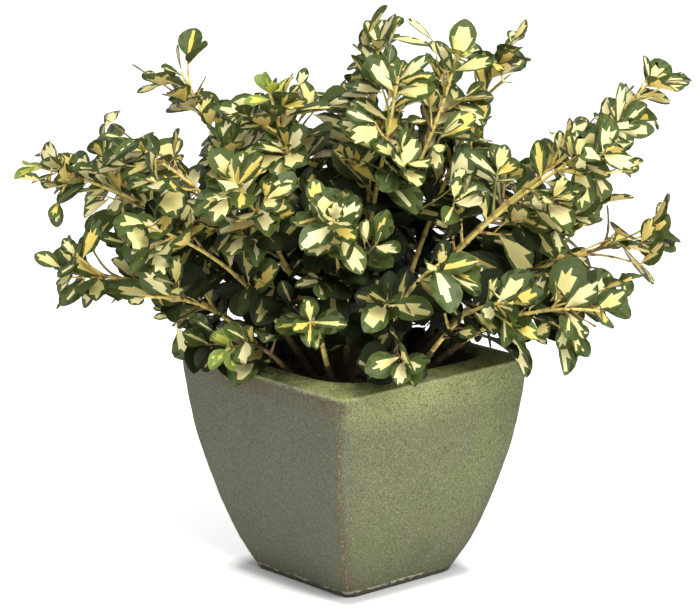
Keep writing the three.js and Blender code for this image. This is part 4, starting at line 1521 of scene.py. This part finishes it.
def leaf_sheet(columns, facing_up):
    """One face of a leaf as a grid of station by column, drawn to a point at its root and tip."""
    bm = bmesh.new()
    last = len(STATIONS) - 1
    bmesh.ops.create_grid(bm, x_segments=last, y_segments=2 * columns, size=1)
    for vert in bm.verts:
        vert.co.x = round((vert.co.x + 1) / 2 * last)
        vert.co.y = round(vert.co.y * columns)
    for end in (0, last):
        row = [vert for vert in bm.verts if vert.co.x == end]
        bmesh.ops.pointmerge(bm, verts=row, merge_co=(end, 0, 0))
    bm.normal_update()
    if (bm.faces[:][0].normal.z > 0) != facing_up:
        bmesh.ops.reverse_faces(bm, faces=bm.faces[:])
    bm.verts.index_update()
    grid = [(int(vert.co.x), int(vert.co.y)) for vert in bm.verts]
    faces = [[vert.index for vert in face.verts] for face in bm.faces]
    zones = [min(columns - 1, int(abs(face.calc_center_median().y))) for face in bm.faces]
    bm.free()
    return grid, faces, zones


@functools.lru_cache(maxsize=1)
def leaf_template():
    """Each vertex's station, column and side (0 above, 1 below), then each face's corners, zone and spot.

    Zones are 0 to 2 above and 3 and 4 below. A spot is the station at the face's end, and the side of the
    midrib that the face is on.
    """
    upper_grid, upper_faces, upper_zones = leaf_sheet(UPPER_COLUMNS, True)
    lower_grid, lower_faces, lower_zones = leaf_sheet(LOWER_COLUMNS, False)
    shift = len(upper_grid)
    grid = [(*place, 0) for place in upper_grid] + [(*place, 1) for place in lower_grid]
    faces = upper_faces + [[corner + shift for corner in face] for face in lower_faces]
    zones = upper_zones + [zone + UPPER_COLUMNS for zone in lower_zones]
    spots = []
    for face in faces:
        corners = [grid[corner] for corner in face]
        spots.append((max(place[0] for place in corners), int(max(place[1] for place in corners) > 0)))
    return np.array(grid).T, faces, zones, spots


def along_blade(u):
    """How far along the blade a share of the leaf's length is, past its stalk."""
    return np.clip((u - PETIOLE_SHARE) / (1 - PETIOLE_SHARE), 0, 1)


def half_widths(u):
    """A leaf's half width along its length, where 1 is its widest: stalked, then blunt and obovate."""
    blade = np.sin(np.pi * along_blade(u) ** OBOVATE) ** FULLNESS
    return np.maximum(blade, np.where(u < 1, STALK_HALF_WIDTH, 0))


def blotch_edges(leaves, rng):
    """How far the blotch and the zone beside it reach at each station and side, of the half width.

    The third array is how far the blotch's edge slides towards the tip there, which gives it its fingers.
    """
    stations = np.array(STATIONS)
    count = len(leaves)
    heights = np.array([leaf.root[2] for leaf in leaves])
    shaded = np.array([leaf.kind == "shaded" for leaf in leaves])
    amount = rng.uniform(*BLOTCH_AMOUNTS, count)
    lot = rng.random(count)
    amount = np.where(lot < STREAKY, rng.uniform(*STREAK_AMOUNTS, count), amount)
    green = (lot > 1 - GREEN) | shaded & (lot > 1 - GREEN_IN_SHADE)
    amount = np.where(green, GREEN_AMOUNT, amount) * np.interp(heights, BLOTCH_HEIGHTS, BLOTCH_SHARES)
    stops = rng.uniform(*BLOTCH_STOPS, count)
    phase = rng.integers(0, 2, (count, 1, 2))
    finger = (np.arange(len(stations))[None, :, None] + phase) % 2 == 0
    shape = (count, len(stations), 2)
    jag = np.where(finger, rng.uniform(*FINGERS, shape), rng.uniform(*NOTCHES, shape))
    fade = np.clip((stops[:, None] - stations[None]) / 0.3, 0, 1) ** 0.7
    inner = amount[:, None, None] * jag * fade[:, :, None]
    inner[:, 1] = np.maximum(inner[:, 1], 0.75)
    inner[:, 2] = np.maximum(inner[:, 2], np.minimum(amount[:, None] * 0.75, 0.6))
    inner = np.clip(inner, BARE_MIDRIB, 0.92)
    reach = rng.uniform(*ZONE_REACHES, shape)
    outer = np.clip(inner + (1 - inner) * reach, inner + 0.04, 0.96)
    slide = np.where(finger, *EDGE_SLIDES) * (inner > 0.1)
    slide[:, :2] = 0
    return inner, outer, slide


def leaf_points(leaves, thickness, rng):
    """Every vertex of every leaf of a mass, in the template's order, and where its blotch ends."""
    inner, outer, slide = blotch_edges(leaves, rng)
    station, column, below = leaf_template()[0]
    shape = (len(leaves), len(station))
    side = (column > 0).astype(int)
    level = np.abs(column)
    on_midrib = level == 0
    at_inner = level == 1
    at_outer = (level == 2) & (below == 0)
    edge_of = np.ones(shape)
    edge_of[:, on_midrib] = 0
    edge_of[:, at_inner] = inner[:, station[at_inner], side[at_inner]]
    edge_of[:, at_outer] = outer[:, station[at_outer], side[at_outer]]
    slid = np.zeros(shape)
    slid[:, at_inner] = slide[:, station[at_inner], side[at_inner]]

    u = np.array(STATIONS)[station][None, :]
    t = along_blade(u)
    sheared = u + FORWARD_SHEAR * edge_of * 4 * t * (1 - t)
    wobble = 1 + np.where(at_outer, rng.uniform(*EDGE_WOBBLE, shape), 0)
    long = np.array([leaf.long for leaf in leaves])[:, None]
    wide = np.array([leaf.wide for leaf in leaves])[:, None]
    x = long * (sheared + slid)
    y = np.sign(column) * edge_of * half_widths(sheared) * wide / 2 * wobble

    each = (len(leaves), 1)
    fold = np.tan(np.radians(rng.uniform(*FOLDS, each)))
    curl = rng.uniform(*CURLS, each)
    cup = rng.uniform(*CUPS, each)
    quilt = np.where(at_outer, np.where(station % 2 == 0, *QUILTING), 0) * (long / 45)
    inside = (station > 0) & (station < len(STATIONS) - 1) & (below == 1)
    depth = thickness * inside * np.where(on_midrib, 1, np.where(at_inner, 0.55, 0))
    z = np.abs(y) * fold - curl * long * sheared ** 2 + cup * y ** 2 / (wide / 2) + quilt - depth

    twist = np.radians(rng.uniform(*TWISTS, each)) * sheared
    y, z = y * np.cos(twist) - z * np.sin(twist), y * np.sin(twist) + z * np.cos(twist)
    y = y + rng.uniform(*BENDS, each) * long * sheared ** 2
    root, blade, across, face = (np.array([leaf[i] for leaf in leaves])[:, None] for i in range(4))
    return root + x[..., None] * blade + y[..., None] * across + z[..., None] * face, inner


def dealt_finishes(leaf):
    """The five finishes of one leaf: blotch, zone and margin above, blotch and rim below."""
    if leaf.kind == "young":
        return ["young_lime", "young_green", "young_green", "young_lime", "young_green"]
    # Leaves deep in the crown take darker copies of the colours: painted shade
    if leaf.kind == "shaded":
        return ["shade_blotch", "shade_zone", "shade_green", "shade_zone", "shade_green"]
    second = (leaf.lot * 7.3) % 1
    third = (leaf.lot * 31.7) % 1
    margin = ["margin_deep", "margin_mid", "margin_mid", "margin_light"][int(leaf.lot * 4)]
    zone = "zone_blue" if second < 0.5 else "zone_green"
    blotch = "blotch_cream" if third < 0.46 else "blotch_yellow" if third < 0.84 else "blotch_golden"
    return [blotch, zone, margin, "under_tan" if second < 0.6 else "under_pale", "under_rim"]


def leaf_mesh(mass, leaves, thickness):
    _, faces, zones, spots = leaf_template()
    rng = np.random.default_rng(LEAF_SEED + mass.number)
    points, inner = leaf_points(leaves, thickness, rng)
    numbers = []
    for leaf, blank in zip(leaves, inner <= BARE_MIDRIB + 0.001):
        slots = [LEAF_FINISHES.index(name) for name in dealt_finishes(leaf)]
        if blank[3:].all():
            slots[1] = slots[2]
        for zone, (station, side) in zip(zones, spots):
            past_blotch = zone in BLOTCH_NEXT and blank[station - 1, side]
            numbers.append(slots[BLOTCH_NEXT[zone] if past_blotch else zone])
    vertices, all_faces = joined([(leaf, faces) for leaf in points])
    return mesh_of_arrays(f"leaves_{mass.name}", to_frame(vertices), all_faces, numbers)


# Operators

class PotOperator(bpy.types.Operator):
    """Builds the stoneware pot"""
    bl_idname = "wintercreeper.pot"
    bl_label = "Pot"

    def execute(self, context):
        settings = context.scene.wintercreeper_pot
        finish = Stoneware(settings).material
        piece = new_piece("stoneware_pot", pot_mesh(settings), [finish], ["pot"])
        drain_holes(piece)
        return {"FINISHED"}


class SoilOperator(bpy.types.Operator):
    """Finishes the soil and strews crumbs and chips on it"""
    bl_idname = "wintercreeper.soil"
    bl_label = "Soil"

    def execute(self, context):
        settings = context.scene.wintercreeper_plant
        finish = soil_finish(settings)
        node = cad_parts["soil"]
        node.data.materials.clear()
        node.data.materials.append(finish)
        new_piece("soil_surface", soil_mesh(), [finish])
        new_piece("bark_chips", chip_mesh(), [bark_finish(settings)])
        return {"FINISHED"}


class LimbOperator(bpy.types.Operator):
    """Builds the root crown and the boughs with their bark"""
    bl_idname = "wintercreeper.limbs"
    bl_label = "Root crown and boughs"

    def execute(self, context):
        settings = context.scene.wintercreeper_plant
        finish = bark_finish(settings)
        relief = settings.bark_relief / MM
        new_piece("root_crown_bark", root_crown_mesh(relief), [finish], ["root_crown"])
        masses = the_plant().masses
        points, faces = joined([bough_arrays(mass, relief) for mass in masses])
        nodes = [f"bough_{mass.name}" for mass in masses]
        mesh = mesh_of_arrays("bough_bark", to_frame(points), faces)
        new_piece("bough_bark", mesh, [finish], nodes)
        return {"FINISHED"}


class TwigOperator(bpy.types.Operator):
    """Builds the stems and twigs inside the foliage"""
    bl_idname = "wintercreeper.twigs"
    bl_label = "Stems and twigs"

    def execute(self, context):
        colours = context.scene.wintercreeper_colours
        finishes = [living_finish(name, getattr(colours, name), 0.55, 0.35, 0.002, 0.0008)
                    for name in TWIG_FINISHES]
        limbs = [limb_arrays(tube, i) for i, tube in enumerate(the_plant().tubes)]
        points, faces = joined([(limb_points, limb_faces) for limb_points, limb_faces, _ in limbs])
        numbers = [number for limb in limbs for number in limb[2]]
        mesh = mesh_of_arrays("stems_and_twigs", to_frame(points), faces, numbers)
        new_piece("stems_and_twigs", mesh, finishes)
        return {"FINISHED"}


class LeafOperator(bpy.types.Operator):
    """Builds the leaves of every mass of foliage"""
    bl_idname = "wintercreeper.leaves"
    bl_label = "Leaves"

    def execute(self, context):
        colours = context.scene.wintercreeper_colours
        settings = context.scene.wintercreeper_plant
        finishes = []
        for name in LEAF_FINISHES:
            roughness, specular = (0.6, 0.2) if name.startswith("shade") else (0.5, 0.24)
            base = getattr(colours, name)
            finishes.append(living_finish(name, base, roughness, specular, 0.0035, 0.0006))
        plant = the_plant()
        for mass in plant.masses:
            mesh = leaf_mesh(mass, plant.leaves[mass.name], settings.leaf_thickness / MM)
            new_piece(f"leaves_{mass.name}", mesh, finishes, [f"foliage_{mass.name}"])
        return {"FINISHED"}


class StageOperator(bpy.types.Operator):
    """Sets up the floor, the lights and the camera"""
    bl_idname = "wintercreeper.stage"
    bl_label = "Stage"

    def execute(self, context):
        settings = context.scene.wintercreeper_stage
        add_floor(settings)
        add_lights(settings)
        add_camera(settings)
        return {"FINISHED"}


def add_floor(settings):
    """A pale floor that glows a little, but not close to the foot, where it is darker as well: a painted
    contact shadow.
    """
    bm = bmesh.new()
    bmesh.ops.create_grid(bm, x_segments=1, y_segments=1, size=FLOOR_HALF)
    floor = bpy.data.objects.new("floor", mesh_of("floor", bm))
    finish = Finish("floor")
    _, x, y, _ = finish.place()
    # Painted contact shadow: the floor's glow and colour drop close to the foot
    aside = (abs(x) - FOOT_HALF * MM).maximum(0)
    ahead = (abs(y) - FOOT_HALF * MM).maximum(0)
    squared = aside * aside + ahead * ahead
    shaded = [value * CONTACT_SHADE for value in settings.floor]
    glowing = squared.rising(0, GLOW_FROM_FOOT ** 2)
    finish.set(
        Base_Color=finish.mixed(squared.rising(0, CONTACT_SHADOW ** 2), shaded, settings.floor),
        Emission_Color=finish.mixed(glowing, (0.05, 0.05, 0.05), (1, 1, 1)),
        Emission_Strength=settings.floor_glow, Roughness=0.9, Specular_IOR_Level=0.1)
    floor.data.materials.append(finish.material)
    bpy.context.scene.collection.objects.link(floor)


def add_lights(settings):
    scene = bpy.context.scene
    scene.world = bpy.data.worlds.new("studio")
    scene.world.use_nodes = True
    sky = scene.world.node_tree.nodes["Background"]
    sky.inputs["Color"].default_value = (1, 1, 1, 1)
    sky.inputs["Strength"].default_value = settings.sky
    scene.view_settings.view_transform = "Standard"
    for name, size, place in LAMPS:
        light = bpy.data.lights.new(name, "AREA")
        light.energy = getattr(settings, f"{name}_power")
        light.size = size
        lamp = bpy.data.objects.new(name, light)
        lamp.location = place
        aim = Vector(LAMPS_AIM) - Vector(place)
        lamp.rotation_euler = aim.to_track_quat("-Z", "Y").to_euler()
        scene.collection.objects.link(lamp)


def add_camera(settings):
    camera = bpy.data.cameras.new("camera")
    camera.lens = settings.lens
    camera.sensor_width = 36
    camera.sensor_fit = "HORIZONTAL"
    camera.clip_end = 60
    right, back = (Vector(axis) for axis in view_axes(settings.azimuth, settings.elevation))
    eye = bpy.data.objects.new("camera", camera)
    aim = right * settings.aim_right + Vector((0, 0, settings.aim_height))
    eye.location = aim + back * settings.distance
    eye.rotation_mode = "QUATERNION"
    eye.rotation_quaternion = (-back).to_track_quat("-Z", "Y")
    bpy.context.scene.collection.objects.link(eye)
    bpy.context.scene.camera = eye


class WintercreeperPanel(bpy.types.Panel):
    """Lists the steps and their settings"""
    bl_idname = "VIEW3D_PT_wintercreeper"
    bl_label = "Potted wintercreeper"
    bl_space_type = "VIEW_3D"
    bl_region_type = "UI"
    bl_category = "Wintercreeper"

    def draw(self, context):
        for operator in OPERATORS:
            self.layout.operator(operator.bl_idname)
        for name in SETTINGS:
            settings = getattr(context.scene, name)
            box = self.layout.box()
            for item in settings.bl_rna.properties:
                if item.identifier not in ("rna_type", "name"):
                    box.prop(settings, item.identifier)


OPERATORS = [StageOperator, PotOperator, SoilOperator, LimbOperator, TwigOperator, LeafOperator]
SETTINGS = {
    "wintercreeper_pot": PotSettings,
    "wintercreeper_plant": PlantSettings,
    "wintercreeper_colours": LeafColours,
    "wintercreeper_stage": StageSettings,
}


def register():
    for kind in [*SETTINGS.values(), *OPERATORS, WintercreeperPanel]:
        bpy.utils.register_class(kind)
    for name, kind in SETTINGS.items():
        setattr(bpy.types.Scene, name, PointerProperty(type=kind))


def unregister():
    for name in SETTINGS:
        delattr(bpy.types.Scene, name)
    for kind in [WintercreeperPanel, *reversed(OPERATORS), *reversed(SETTINGS.values())]:
        bpy.utils.unregister_class(kind)


def main():
    register()
    for operator in OPERATORS:
        family, name = operator.bl_idname.split(".")
        getattr(getattr(bpy.ops, family), name)()


if __name__ == "__main__":
    main()
